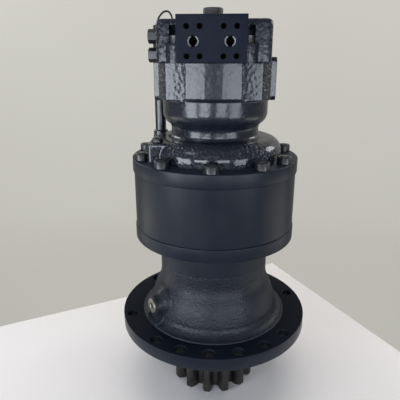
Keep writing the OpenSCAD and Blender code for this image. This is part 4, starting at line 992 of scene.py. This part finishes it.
@dataclass
class MotorCasing:
    """Flange, dome, waist, bowl and block of the motor casing, with its plugs. Sizes in mm."""

    flange_r: float = 162.5
    flange_bore_r: float = 124.0
    flange_edge: float = 1.4
    low_z: float = 337.2
    dome_z: float = 363.1
    dome_r: float = 130.0
    dome_top: float = 401.6
    dome_round: float = 26.0
    inner_r: float = 60.0
    waist_r: float = 84.5
    waist_fillet: float = 8.0
    waist_round: float = 12.0
    bowl_r: float = 100.5
    bowl_z: float = 449.0
    bowl_round: float = 24.0
    block_z: float = 469.5
    top_z: float = 537.5
    lip_z: float = 548.0
    over: float = 5.0
    scallop_r: float = 14.5
    spot_h: float = 0.5
    bolts: RingBolts = field(default_factory=RingBolts)
    block: tuple[Point, ...] = ((46.5, -86.4), (85.5, -76), (101, -50), (101, 50), (85.5, 76), (46.5, 90),
                                (-46.5, 90), (-85.5, 76), (-101, 50), (-101, -50), (-85.5, -76), (-46.5, -86.4))
    block_front: tuple[Point, ...] = ((-31, -88.4), (-15.5, -89.6), (0, -90), (15.5, -89.6), (31, -88.4))
    block_edge: float = 7.0
    block_side: float = 101.0
    skin: Skin = Skin(1.4, 4, 0.12)
    bore: tuple[Point, ...] = ((0, 340), (121, 340), (121, 368), (104, 384), (70, 388))
    side_half_w: float = 33.0
    side_y: Point = (27.0, 9.0)
    side_root: float = 60.0
    side_reach: float = 114.0
    side_edge: float = 8.0
    side_plug_z: float = 501.0
    side_screw: SocketScrew = SocketScrew(4.4, 6, 2, 2.6, 1.6, 6)
    stick_boss: tuple[float, float, float, float] = (-120, -88, -70, 20)
    stick_boss_top: float = 398.1
    fill_plug: Point = (-105.0, -60.0)
    fill_seat_r: float = 12.5
    fill_screw: SocketScrew = SocketScrew(6.7, 9, 7, 3.9, 4.5, 8)
    tube: Point = (-115.7, 56.0)
    tube_boss_r: float = 16.0
    tube_boss_top: float = 393.1
    tube_seat_r: float = 15.4

    def build(self) -> None:
        """Makes the machined flange, the rough casting and the plugs."""
        fit(self._flange(), "casting_gloss", "motor_casing")
        fit(self._casting(), "casting_gloss")
        fit(self._plugs(), "painted_fittings", "casing_plugs")

    def _scallops(self, name: str, low: float, high: float, steps: int = Facets.ROD) -> Piece:
        """Cutters for the pockets that clear the screw heads.

        Args:
            name: Name of the tool.
            low: Bottom of the pockets, in mm.
            high: Top of the cutters, in mm.
            steps: Facets of each.

        Returns:
            All cutters as one tool.
        """
        tool = Workshop.rod(name, self.scallop_r, low, high, steps)
        return Workshop.copies(tool, [Matrix.Translation(turned(self.bolts.circle_r, a)) for a in self.bolts.angles])

    def _flange(self) -> Piece:
        """Turned flange, spot-faced under each screw.

        Returns:
            The flange.
        """
        outline = soften(box(self.flange_bore_r, self.low_z, self.flange_r, self.dome_z), self.flange_edge, 4, (0, 3))
        flange = Workshop.lathe("casing_flange", outline, Facets.FLANGE)
        facer = self._scallops("spot_facer", self.dome_z - self.spot_h, self.dome_z + self.over, Facets.BORE)
        Workshop.join(flange, [facer], Blend.CUT)
        return finished(flange, Finishes.MACHINED)

    def _outline(self, low: float) -> list[Point]:
        """Outline of the turned part, from the dome over the waist to the bowl.

        Args:
            low: Where it starts, in mm.

        Returns:
            The closed outline.
        """
        dome = arc((self.dome_r - self.dome_round, self.dome_top - self.dome_round), self.dome_round, 0, 90, 10)
        fillet = arc((self.waist_r + self.waist_fillet, self.dome_top + self.waist_fillet), self.waist_fillet,
                     270, 180, 6)
        bowl_x, waist_x = self.bowl_r - self.bowl_round, self.waist_r + self.waist_round
        waist_z = self.bowl_z - math.sqrt((self.bowl_round + self.waist_round) ** 2 - (waist_x - bowl_x) ** 2)
        turn = math.degrees(math.atan2(self.bowl_z - waist_z, bowl_x - waist_x))
        waist = arc((waist_x, waist_z), self.waist_round, 180, turn, 6)
        bowl = arc((bowl_x, self.bowl_z), self.bowl_round, turn - 180, 0, 8)
        high = self.block_z + 6
        return [(self.inner_r, low), (self.dome_r, low), *dome, *fillet, *waist, *bowl, (self.bowl_r, high),
                (self.inner_r, high)]

    def _casting(self) -> Piece:
        """Rough casting from the dome to the joint face of the valve casing.

        Returns:
            The casting, its bowl and the middle of its block in the smoother finish.
        """
        low, over = self.dome_z - 8, self.top_z + self.over
        casting = Workshop.lathe("casing_casting", self._outline(low), Facets.CASING)
        Workshop.join(casting, self._forms(low, over), Blend.ADD)
        Workshop.join(casting, [self._scallops("scallop_form", self.dome_z, self.dome_z + 60)], Blend.CUT)
        Workshop.cast(casting, self.skin)
        Workshop.join(casting, self._machining(over), Blend.CUT)
        for polygon in casting.data.polygons:
            place = polygon.center / MM
            if place.z > self.dome_top and (place.z < self.block_z or abs(place.x) < self.block[0][0]):
                polygon.material_index = 1
        return finished(casting, Finishes.CASTING, Finishes.CASTING_SMOOTH, angle=40)

    def _side(self, name: str, side: int, low: float, high: float, start: float, skip: Iterable[int] = ()) -> Piece:
        """A boss or lip on the left or right of the block.

        Args:
            name: Name of the form.
            side: 1 for the right, -1 for the left.
            low: Its lower edge, in mm.
            high: Its upper edge, in mm.
            start: Where it starts, from the drive's axis.
            skip: Corners that stay sharp.

        Returns:
            The form in its place.
        """
        w, y = self.side_half_w, self.side_y[0 if side > 0 else 1]
        outline = soften(box(-w, low, w, high), self.side_edge, 5, skip)
        swing = Matrix(((0, 0, side, 0), (1, 0, 0, y * MM), (0, 1, 0, 0), (0, 0, 0, 1)))
        return Workshop.moved(Workshop.prism(name, outline, start, self.side_reach), swing)

    def _forms(self, low: float, over: float) -> list[Piece]:
        """Block, side bosses and bosses of the dipstick, before the skin is cast.

        Args:
            low: Bottom of the bosses on the flange, in mm.
            over: Top of the block before it is milled, in mm.

        Returns:
            The forms.
        """
        stick = Workshop.prism("stick_form", soften(box(*self.stick_boss), self.side_edge), low, self.stick_boss_top)
        tube = Workshop.rod("tube_form", self.tube_boss_r, low, self.tube_boss_top)
        return [Workshop.prism("block_form", [*self.block_front, *soften(self.block, self.block_edge)],
                               self.block_z + 5, over),
                *[self._side("side_form", side, self.block_z, over, self.side_root, (2, 3)) for side in (1, -1)],
                self._side("lip_form", 1, self.block_z + 20, self.lip_z, self.block_side),
                stick, Workshop.moved(tube, shift(*self.tube))]

    def _machining(self, over: float) -> list[Piece]:
        """Cutters for the joint face, the inside, and the seats of plugs and tube.

        Args:
            over: Top of the casting before it is milled, in mm.

        Returns:
            The cutters.
        """
        inner, high = self.bore[-1][0], over + 8
        plug = Workshop.rod("plug_seat", self.fill_seat_r, self.stick_boss_top - 0.6, 450)
        tube = Workshop.rod("tube_seat", self.tube_seat_r, self.tube_boss_top - 0.4, 460)
        return [Workshop.prism("face_mill", box(-180, -150, self.block_side, 150), self.top_z, over + 20),
                Workshop.lathe("bore", [*self.bore, (inner, high), (0, high)], Facets.KNURLED),
                Workshop.moved(plug, shift(*self.fill_plug)), Workshop.moved(tube, shift(*self.tube))]

    def _plugs(self) -> Piece:
        """Flat socket plugs of the dipstick boss and of both side bosses.

        Returns:
            All plugs as one piece.
        """
        big = self.fill_screw.make("casing_plugs_dressed")
        Workshop.copies(big, [shift(*self.fill_plug, self.stick_boss_top)])
        small = self.side_screw.make("side_plugs")
        Workshop.copies(small, [shift(side * self.side_reach, y, self.side_plug_z) @ spin(90 * side, "Y")
                                for side, y in zip((1, -1), self.side_y)])
        return finished(Workshop.merge(big, [small]), Finishes.HARDWARE)


@dataclass
class ValveCasing:
    """Top casting with the port block, its screws, hexagon fittings and top plug. Sizes in mm."""

    x: float = -4.2
    body_x: float = -1.4
    half_w: float = 100.5
    front: float = -72.0
    back: float = 78.0
    low_z: float = 537.5
    top_z: float = 610.0
    corner: float = 12.0
    top_edge: float = 9.0
    skin: Skin = Skin(1.3, 4, 0.15)
    bore_r: float = 82.0
    plug_bore: Point = (27.0, 19.0)
    bolt_x: float = 62.5
    bolt_y: float = 68.0
    bolt: SocketScrew = SocketScrew(7, 10.5, 14, 6.02, 7, 24)
    bolt_twist: float = 23.0
    ledge_z: float = 569.5
    pocket_r: float = 15.5
    seat_r: float = 11.4
    foot_r: float = 16.0
    block_half_w: float = 60.3
    block_y: float = -84.5
    block_t: float = 38.0
    block_seat: float = 34.0
    block_top: float = 615.6
    block_edge: float = 0.7
    port_gap: float = 62.2
    port_z: float = 573.0
    port_r: float = 8.0
    port_cut: tuple[Point, ...] = ((-1, -30), (-1, -2.4), (-0.6, -2.1), (0, -1.2), (0.2, -0.3), (1.2, 0), (1.4, 1))
    # Width and depth of the port mouths that take the painted highlight, in mm.
    mouth_w: float = 1.9
    mouth_h: float = 2.6
    thread_r: float = 4.25
    thread_depth: float = 20.0
    thread_pitch: float = 1.2
    thread_w: float = 22.2
    thread_h: float = 47.6
    plug: Point = (-6.2, 18.0)
    plug_r: float = 18.6
    plug_h: float = 24.0
    plug_socket_r: float = 9.2
    fitting_y: float = 25.0
    relief: HexFitting = HexFitting(583.1, 12.6, 5.5)
    check: HexFitting = HexFitting(551.1, 13.0)

    def build(self) -> None:
        """Makes the casting, the port block and everything screwed into them."""
        fit(self._casting(), "casting_gloss", "valve_casing")
        fit(self._port_block(), "casting_gloss")
        fit(self._bolts(), "painted_fittings", "valve_bolts")
        fit(self._pair("relief_fittings", self.relief), "painted_fittings", "relief_valves")
        fit(self._pair("check_fittings", self.check), "painted_fittings", "check_valve_plugs")
        fit(self._top_plug(), "oiled_steel", "top_plug")

    def _corners(self) -> list[Point]:
        """Places of the four screws."""
        return [(self.x + sx * self.bolt_x, sy * self.bolt_y) for sx in (-1, 1) for sy in (-1, 1)]

    def _pocket(self, x: float, y: float) -> Piece:
        """Cutter for one corner pocket, round inside and open outwards.

        Args:
            x: Place of its screw, in mm.
            y: Place of its screw, in mm.

        Returns:
            The cutter.
        """
        r, out = self.pocket_r, math.copysign(60, y)
        round_end = arc((x, y), r, 0, math.copysign(-180, y), 12)
        outline = [*round_end[1:-1], (x - r, y), (x - r, y + out), (x + r, y + out), (x + r, y)]
        return Workshop.prism("pocket", outline, self.ledge_z, self.top_z + 20)

    def _casting(self) -> Piece:
        """Rough casting with a pocket at each corner for the screws.

        Returns:
            The casting, milled and bored.
        """
        low, corners = self.low_z - 5, [shift(x, y) for x, y in self._corners()]
        plan = box(self.body_x - self.half_w, self.front, self.body_x + self.half_w, self.back)
        body = Workshop.prism("valve_casting", soften(plan, self.corner), low, self.top_z)
        Workshop.bevel(body, self.top_edge, 5)
        feet = Workshop.rod("screw_feet", self.foot_r, low, self.ledge_z)
        Workshop.join(body, [Workshop.copies(feet, corners)], Blend.ADD)
        Workshop.join(body, [self._pocket(x, y) for x, y in self._corners()], Blend.CUT)
        Workshop.cast(body, self.skin)
        face = Workshop.rod("valve_face_mill", 180, low - 10, self.low_z, Facets.PIN)
        r, (inner, depth), step = self.bore_r, self.plug_bore, self.low_z + 1
        inside = Workshop.lathe("valve_bore", [(0, low - 12), (r, low - 12), (r, step), (inner, step),
                                               (inner, self.low_z + depth), (0, self.low_z + depth)], Facets.TUBE)
        seats = Workshop.rod("screw_seats", self.seat_r, self.ledge_z - 0.5, self.ledge_z + 30)
        Workshop.copies(seats, corners)
        reach = self.block_half_w - 3
        seat = Workshop.prism("block_seat", box(self.x - reach, -120, self.x + reach, self.block_y + self.block_seat),
                              low - 10, self.top_z + 20)
        Workshop.join(body, [face, inside, seats, seat], Blend.CUT)
        return finished(body, Finishes.VALVE, angle=40)

    def _port_block(self) -> Piece:
        """Milled block with two ports, each with its four tapped holes.

        Returns:
            The block, its bores near-black as painted shade, and painted highlights in pale steel at the left and
            right of its port mouths.
        """
        w, r = self.block_half_w, self.port_r
        plan = box(self.x - w, self.block_y, self.x + w, self.block_y + self.block_t)
        block = Workshop.prism("port_block", plan, self.low_z, self.block_top)
        Workshop.bevel(block, self.block_edge, 2)
        cut = [(r + wider, z) for wider, z in self.port_cut]
        port = Workshop.lathe("port_cutter", [(0, cut[0][1]), *cut, (0, cut[-1][1])], Facets.TUBE)
        thread = Workshop.lathe("thread_cutter", self._thread(), Facets.PIN)
        Workshop.copies(thread, [shift(sx * self.thread_w / 2, sy * self.thread_h / 2)
                                 for sx in (-1, 1) for sy in (-1, 1)])
        Workshop.merge(port, [thread])
        # The cutter's faces carry the near-black colour into the bores: painted shade.
        dress(port, Finishes.HOLE_SHADE, Finishes.HOLE_SHADE)
        for polygon in port.data.polygons:
            polygon.material_index = 1
        Workshop.copies(port, [shift(self.x + s * self.port_gap / 2, self.block_y, self.port_z) @ spin(90, "X")
                               for s in (-1, 1)])
        dress(block, Finishes.PORT_FACE, Finishes.HOLE_SHADE)
        Workshop.join(block, [port], Blend.CUT)
        # Pale steel on the left and right of each port mouth: painted highlights.
        self._paint_mouth_highlights(block)
        return finished(block, Finishes.PORT_FACE, Finishes.HOLE_SHADE, Finishes.MOUTH_HIGHLIGHT)

    def _paint_mouth_highlights(self, block: Piece) -> None:
        """Paints highlights in pale steel on the conical mouths of both ports, at their left and right only.

        Args:
            block: The bored block.
        """
        for polygon in block.data.polygons:
            place = polygon.center / MM
            for s in (-1, 1):
                across = place.x - self.x - s * self.port_gap / 2
                reach = math.hypot(across, place.z - self.port_z)
                near = reach < self.port_r + self.mouth_w and place.y < self.block_y + self.mouth_h
                if near and abs(across) > reach / 2 and polygon.material_index == 1:
                    polygon.material_index = 2

    def _thread(self) -> list[Point]:
        """A tapped hole, its mouth at height 0.

        Returns:
            Its outline, with the entry chamfer and the ridged wall.
        """
        ridges: list[Point] = []
        r, z = self.thread_r, -self.thread_depth
        while z < -1.8:
            ridges += [(r - 0.5, z), (r, z + self.thread_pitch / 2)]
            z += self.thread_pitch
        return [(0, -self.thread_depth - 2), *ridges, (r, -0.9), (r + 0.9, 0), (r + 1.9, 1), (0, 1)]

    def _bolts(self) -> Piece:
        """Screws in the corner pockets.

        Returns:
            All four as one piece.
        """
        bolts = self.bolt.make("valve_screws")
        Workshop.copies(bolts, [shift(x, y, self.ledge_z) @ spin(self.bolt_twist * i)
                                for i, (x, y) in enumerate(self._corners())])
        return finished(bolts, Finishes.HARDWARE)

    def _pair(self, name: str, fitting: HexFitting) -> Piece:
        """A pair of hexagon fittings on the left side.

        Args:
            name: Name of the piece.
            fitting: What one of them is like.

        Returns:
            Both fittings as one piece.
        """
        pair = fitting.make(name)
        Workshop.copies(pair, [shift(self.body_x - self.half_w, s * self.fitting_y, fitting.level) @ spin(-90, "Y")
                               for s in (-1, 1)])
        return finished(pair, Finishes.HARDWARE)

    def _top_plug(self) -> Piece:
        """Round plug on top, rough round its edge, with a hexagon socket.

        Returns:
            The plug.
        """
        z, r, top = self.top_z, self.plug_r, self.top_z + self.plug_h
        outline = [(0, z - 6), (12.5, z - 6), (12.5, z - 0.2), (r - 0.5, z - 0.2), (r, z + 0.5), (r, z + 4),
                   (r, top - 4), (r - 0.3, top - 2), (r - 1.7, top - 0.4), (r - 2.9, top), (0, top)]
        plug = Workshop.lathe("top_plug_head", outline, Facets.KNURLED)
        Workshop.knurl(plug, r, 0.35, z + 2, top - 3, Facets.KNURLED)
        socket = Workshop.hexagon("top_plug_socket", self.plug_socket_r, top - 9, top + 2)
        wide = self.plug_socket_r + 1
        entry = Workshop.lathe("top_plug_entry", [(0, top - 6), (wide, top + 0.2), (wide, top + 2), (0, top + 2)],
                               Facets.BORE)
        Workshop.join(plug, [socket, entry], Blend.CUT, Solver.EXACT)
        return finished(Workshop.moved(plug, shift(*self.plug)), Finishes.TOP_PLUG)


@dataclass
class Dipstick:
    """Tube on the left of the casing, and the stick with its wire handle. Sizes in mm."""

    at: Point = (-115.7, 56.0)
    seat_z: float = 393.1
    top_z: float = 601.0
    tube_r: float = 11.0
    wall: float = 2.2
    collar_r: float = 15.0
    rod_r: float = 2.2
    rod_low: float = 349.0
    wire_r: float = 1.8
    handle: tuple[Point, ...] = ((0, 3), (0, 8), (-0.5, 13), (0.2, 17), (3.5, 22.5), (8.5, 28), (13.5, 30.9),
                                 (18, 31.4), (22.5, 29.6), (26, 24.6), (28, 19), (28.6, 14.5))
    twist_r: float = 2.4
    twist_z: float = 6.8
    twist_rise: float = 0.42
    twist_steps: int = 26

    def build(self) -> None:
        """Makes the fixed tube and the stick that slides in it."""
        fit(self._tube(), "painted_fittings", "dipstick_tube")
        fit(self._stick(), "oiled_steel", "dipstick", body="stick")

    def _tube(self) -> Piece:
        """Steel tube with its collar and rolled mouth.

        Returns:
            The tube.
        """
        r, z, top, collar = self.tube_r, self.seat_z, self.top_z, self.collar_r
        inner = r - self.wall
        outline = [(inner, z - 8), (r, z - 8), (r, z - 0.1), (14.3, z - 0.1), (collar, z + 0.6), (collar, z + 7.6),
                   (13.9, z + 8.9), (r + 0.8, z + 8.9), (r, z + 9.8), (r, top - 0.8), (r - 0.8, top),
                   (inner + 0.6, top), (inner, top - 0.6)]
        tube = Workshop.lathe("dipstick_tube_dressed", outline, Facets.TUBE)
        return finished(Workshop.moved(tube, shift(*self.at)), Finishes.TUBE)

    def _stick(self) -> Piece:
        """Rod, cap and the wire bent into a handle.

        Returns:
            The stick, pushed in.
        """
        top, r, low = self.top_z, self.rod_r, self.rod_low
        outline = [(0, low), (r - 0.6, low), (r, low + 2), (r, top - 9.5), (5.6, top - 9.5), (6.0, top - 9),
                   (6.0, top - 6), (5.3, top - 5.4), (5.3, top - 4), (6.0, top - 3.4), (6.0, top), (6.0, top + 0.15),
                   (9.4, top + 0.15), (10, top + 0.8), (10, top + 4.4), (8.6, top + 6), (0, top + 6)]
        stick = Workshop.lathe("dipstick_dressed", outline, Facets.BORE)
        wire = Workshop.wire("handle_wire", [(x, 0, top + z) for x, z in self.handle], self.wire_r)
        turns = [i * math.pi / 6 for i in range(self.twist_steps)]
        twist = Workshop.wire("handle_twist", [
            (self.twist_r * math.cos(t), self.twist_r * math.sin(t), top + self.twist_z + t * self.twist_rise)
            for t in turns], self.wire_r * 0.8)
        Workshop.merge(stick, [wire, twist])
        return finished(Workshop.moved(stick, shift(*self.at)), Finishes.WIRE, angle=40)


@dataclass
class Pinion:
    """Output pinion with its shaft. Sizes in mm."""

    teeth: int = 13
    module: float = 12.0
    profile_shift: float = 0.25
    backlash: float = 0.15
    phase: float = -96.0
    tip_r: float = 90.5
    tip_edge: float = 0.9
    root_r: float = 66.0
    low_z: float = -145.0
    high_z: float = -45.0
    pressure: float = 20.0
    chamfer: float = 4.0
    end_edge: float = 0.8
    centre: tuple[Point, ...] = ((0, -1), (9, -1), (7, 4), (0, 14))
    shaft: tuple[Point, ...] = ((0, -45.5), (62, -45.5), (62, -38), (52, -38), (52, -10), (50, -10), (50, 36),
                                (47, 36), (47, 160), (45, 160), (45, 200), (42, 200), (42, 212), (40, 212),
                                (40, 231), (0, 231))

    def build(self) -> None:
        """Makes the toothed body and its shaft, in worn and oily steel."""
        fit(self._gear(), "oiled_steel", "pinion_shaft", body="output")

    def _base(self) -> float:
        """Radius of the circle that the involutes unwind from."""
        return self.module * self.teeth / 2 * math.cos(math.radians(self.pressure))

    def _involute(self, r: float) -> float:
        """The involute function at a radius, in radians."""
        a = math.acos(min(1.0, self._base() / r))
        return math.tan(a) - a

    def _half_angle(self, r: float) -> float:
        """Half the angle that a tooth fills.

        Args:
            r: Radius where it is asked for, in mm.

        Returns:
            The angle in radians.
        """
        pitch = self.module * self.teeth / 2
        wider = 2 * self.profile_shift * math.tan(math.radians(self.pressure))
        half = (math.pi / 2 + wider) / self.teeth - self.backlash / pitch
        return half + self._involute(pitch) - self._involute(r)

    def _outline(self, grow: float = 0.0, limit: float = 1000.0) -> list[Point]:
        """Outline of the teeth.

        Args:
            grow: How far it is offset inwards, in mm.
            limit: Radius that it is kept inside, in mm.

        Returns:
            The closed outline.
        """
        low, space = max(self.root_r, self._base()), math.pi / self.teeth
        edge, root_half = self.tip_edge, self._half_angle(low)
        radii = [self.root_r + 3.2, *[low + (self.tip_r - edge - low) * i / 10 for i in range(11)]]
        side = [(self.root_r - grow, space),
                (self.root_r - grow, root_half + (space - root_half) * 0.55),
                (self.root_r + 0.7 - grow, root_half + (space - root_half) * 0.22),
                *[(r - grow, self._half_angle(r) - grow / r) for r in radii],
                (self.tip_r - grow, self._half_angle(self.tip_r) - edge / self.tip_r)]
        points: list[Point] = []
        for t in range(self.teeth):
            mid = math.radians(self.phase) + t * 2 * math.pi / self.teeth
            turns = [(r, mid - a) for r, a in side] + [(r, mid + a) for r, a in reversed(side[1:])]
            points += [(min(r, limit) * math.cos(a), min(r, limit) * math.sin(a)) for r, a in turns]
        return points

    def _gear(self) -> Piece:
        """The toothed body with chamfered ends, and the turned shaft above it.

        Returns:
            Both as one piece.
        """
        inner, edge = self.tip_r - self.chamfer, self.end_edge
        ends = [(self._outline(edge, inner), 0.0), (self._outline(0, inner + edge), edge),
                (self._outline(), self.chamfer)]
        layers = [(points, self.low_z + rise) for points, rise in ends]
        layers += [(points, self.high_z - rise) for points, rise in reversed(ends)]
        gear = Workshop.loft("output_pinion", layers)
        centre = Workshop.lathe("centre_hole", [(r, self.low_z + z) for r, z in self.centre], Facets.BORE)
        Workshop.join(gear, [centre], Blend.CUT, Solver.EXACT)
        Workshop.merge(gear, [Workshop.lathe("output_shaft", self.shaft, Facets.KNURLED)])
        return finished(gear, Finishes.PINION, angle=28)


class Internals:
    """The CAD nodes that show as they are, and those hidden inside the drive."""

    def build(self) -> None:
        """Gives every CAD node the finish of its material slot."""
        slots = {part["node"]: part["material_slot"] for part in frame["record"]["subparts"]}
        for name, obj in frame["nodes"].items():
            finished(obj, SLOT_FINISH[slots[name]], angle=35)


class Light(Enum):
    """Colours of the lamps."""

    DAYLIGHT = (0.84, 0.9, 1.0)
    SHADE = (0.88, 0.93, 1.0)
    CLOUD = (0.95, 0.97, 1.0)
    PAPER = (1.0, 0.98, 0.94)
    ROOM = (1.0, 0.95, 0.91)


@dataclass(frozen=True)
class Lamp:
    """A soft rectangular lamp, in metres and watts, turned to the drive."""

    name: str
    place: Spot
    width: float
    height: float
    power: float
    light: Light
    mirrored: bool = True

    def hang(self, target: Vector) -> None:
        """Puts the lamp in the scene, facing a point.

        Args:
            target: The point, in metres.
        """
        data = bpy.data.lights.new(self.name, "AREA")
        data.shape, data.size, data.size_y = "RECTANGLE", self.width, self.height
        data.energy, data.color = self.power, self.light.value
        obj = bpy.data.objects.new(self.name, data)
        obj.location = self.place
        obj.visible_glossy = self.mirrored
        obj.rotation_euler = (target - Vector(self.place)).to_track_quat("-Z", "Y").to_euler()
        bpy.context.scene.collection.objects.link(obj)


@dataclass
class Studio:
    """Floor, backdrop, lamps and the camera at the photograph's angle. Places in metres."""

    floor_z: float = -0.145
    cloth: tuple[Point, ...] = ((-1.4, -0.35), (0.711, -0.35), (0.187, 0.551))
    wall_half_w: float = 4.0
    wall_y: float = 1.3
    wall_depth: float = 1.6
    floor_colour: Colour = (0.82, 0.8, 0.79, 1)
    wall_colour: Colour = (0.25, 0.245, 0.225, 1)
    wall_light: Colour = (1, 0.975, 0.87, 1)
    wall_glow: float = 0.39
    wall_share: float = 0.35
    sky_colour: Colour = (0.94, 0.93, 0.91, 1)
    far_glow: float = 0.45
    sky: float = 0.07
    camera_at: Spot = (0.0308, -0.86006, 0.55088)
    camera_pitch: float = 18.291
    camera_heading: float = 4.0
    lens: float = 39.42
    sensor: float = 36.0
    middle: Spot = (0, 0, 0.3)
    lamps: tuple[Lamp, ...] = (
        Lamp("window_left", (-0.74, -2.05, 0.33), 0.8, 0.5, 13.6, Light.DAYLIGHT),
        Lamp("window_right", (0.57, -2.05, 0.33), 0.78, 0.5, 9.4, Light.DAYLIGHT),
        Lamp("side_left", (-1.19, -1.06, 0.27), 0.68, 0.56, 12.0, Light.DAYLIGHT),
        Lamp("side_right", (1.12, -1.15, 0.27), 0.65, 0.56, 6.6, Light.DAYLIGHT),
        Lamp("low_left", (-1.75, 0.1, -0.35), 1.4, 0.5, 3.2, Light.PAPER),
        Lamp("low_right", (1.75, 0.1, -0.35), 1.4, 0.5, 2.6, Light.PAPER),
        Lamp("overhead_left", (-0.9, -0.8, 1.6), 0.5, 0.5, 2.5, Light.SHADE),
        Lamp("back_left", (-1.6, 0.9, 1.15), 0.8, 0.6, 8.0, Light.CLOUD),
        Lamp("back_right", (1.7, 0.9, 1.15), 0.8, 0.6, 8.0, Light.CLOUD),
        Lamp("ceiling", (0.0, 0.3, 2.4), 2.4, 2.4, 45.0, Light.ROOM, False),
    )

    def build(self) -> None:
        """Places the stage, the lamps and the camera."""
        self._stage()
        self._light()
        self._camera()

    def _plane(self, name: str, corners: Sequence[Spot], colour: Colour, pale: float = 0.0) -> None:
        """A staged plane of one pale colour with a faint mottle.

        Args:
            name: Name of the plane.
            corners: Its corners, in metres.
            colour: Its colour.
            pale: How much lighter the camera, and by a share a glossy surface, sees it.
        """
        bm = bmesh.new()
        bm.faces.new([bm.verts.new(corner) for corner in corners])
        obj = Workshop.place(name, bm)
        dress(obj, Finish(name + "_paper", colour, 0.8, mottle=0.02, mottle_size=300))
        if pale:
            tree = Wiring(obj.data.materials[0].node_tree)
            tree.feed("Principled BSDF", {"Emission Color": self.wall_light,
                                          "Emission Strength": self._pale_level(tree, pale, 0.0)})

    def _pale_level(self, tree: Wiring, pale: float, base: float) -> Socket:
        """A strength that is higher where the camera, a glossy or a clear surface looks at the background.

        Args:
            tree: Nodes of the material or the world.
            pale: What the camera sees on top of the base. Mirroring and clear surfaces see a share of it.
            base: Strength for all other rays.

        Returns:
            The output that carries the strength.
        """
        seen = tree.add("LightPath").outputs
        clear = tree.scaled(seen["Is Transmission Ray"], self.wall_share, seen["Is Camera Ray"])
        return tree.scaled(tree.scaled(seen["Is Glossy Ray"], self.wall_share, clear), pale, base)

    def _stage(self) -> None:
        """White cloth with its far corner behind the drive, in front of a pale wall."""
        z, far, wide = self.floor_z, self.wall_y, self.wall_half_w
        low, high = z - self.wall_depth, z + wide
        self._plane("floor", [(x, y, z) for x, y in self.cloth], self.floor_colour)
        self._plane("backdrop", [(-wide, far, low), (wide, far, low), (wide, far, high), (-wide, far, high)],
                    self.wall_colour, self.wall_glow)

    def _light(self) -> None:
        """Soft lamps that face the drive, and a dim sky."""
        world = bpy.data.worlds.new("room")
        bpy.context.scene.world = world
        world.use_nodes = True
        tree = Wiring(world.node_tree)
        tree.feed("Background", {"Color": self.sky_colour,
                                 "Strength": self._pale_level(tree, self.far_glow, self.sky)})
        for lamp in self.lamps:
            lamp.hang(Vector(self.middle))

    def _camera(self) -> None:
        """Camera with the place, angle and field of the photograph."""
        data = bpy.data.cameras.new("camera")
        data.lens, data.sensor_width, data.sensor_fit = self.lens, self.sensor, "HORIZONTAL"
        obj = bpy.data.objects.new("camera", data)
        obj.location = self.camera_at
        obj.rotation_euler = (math.radians(90 - self.camera_pitch), 0, math.radians(self.camera_heading))
        bpy.context.scene.collection.objects.link(obj)
        bpy.context.scene.camera = obj
        bpy.context.scene.view_settings.view_transform = "Standard"


def main() -> None:
    """Builds the drive's looks, sub-assembly by sub-assembly."""
    logging.basicConfig(level=logging.INFO, format="%(message)s")
    for assembly in (Internals(), LowerHousing(), MotorCasing(), RingBolts(), ValveCasing(), Dipstick(), Pinion(),
                     Studio()):
        assembly.build()


if __name__ == "__main__":
    main()
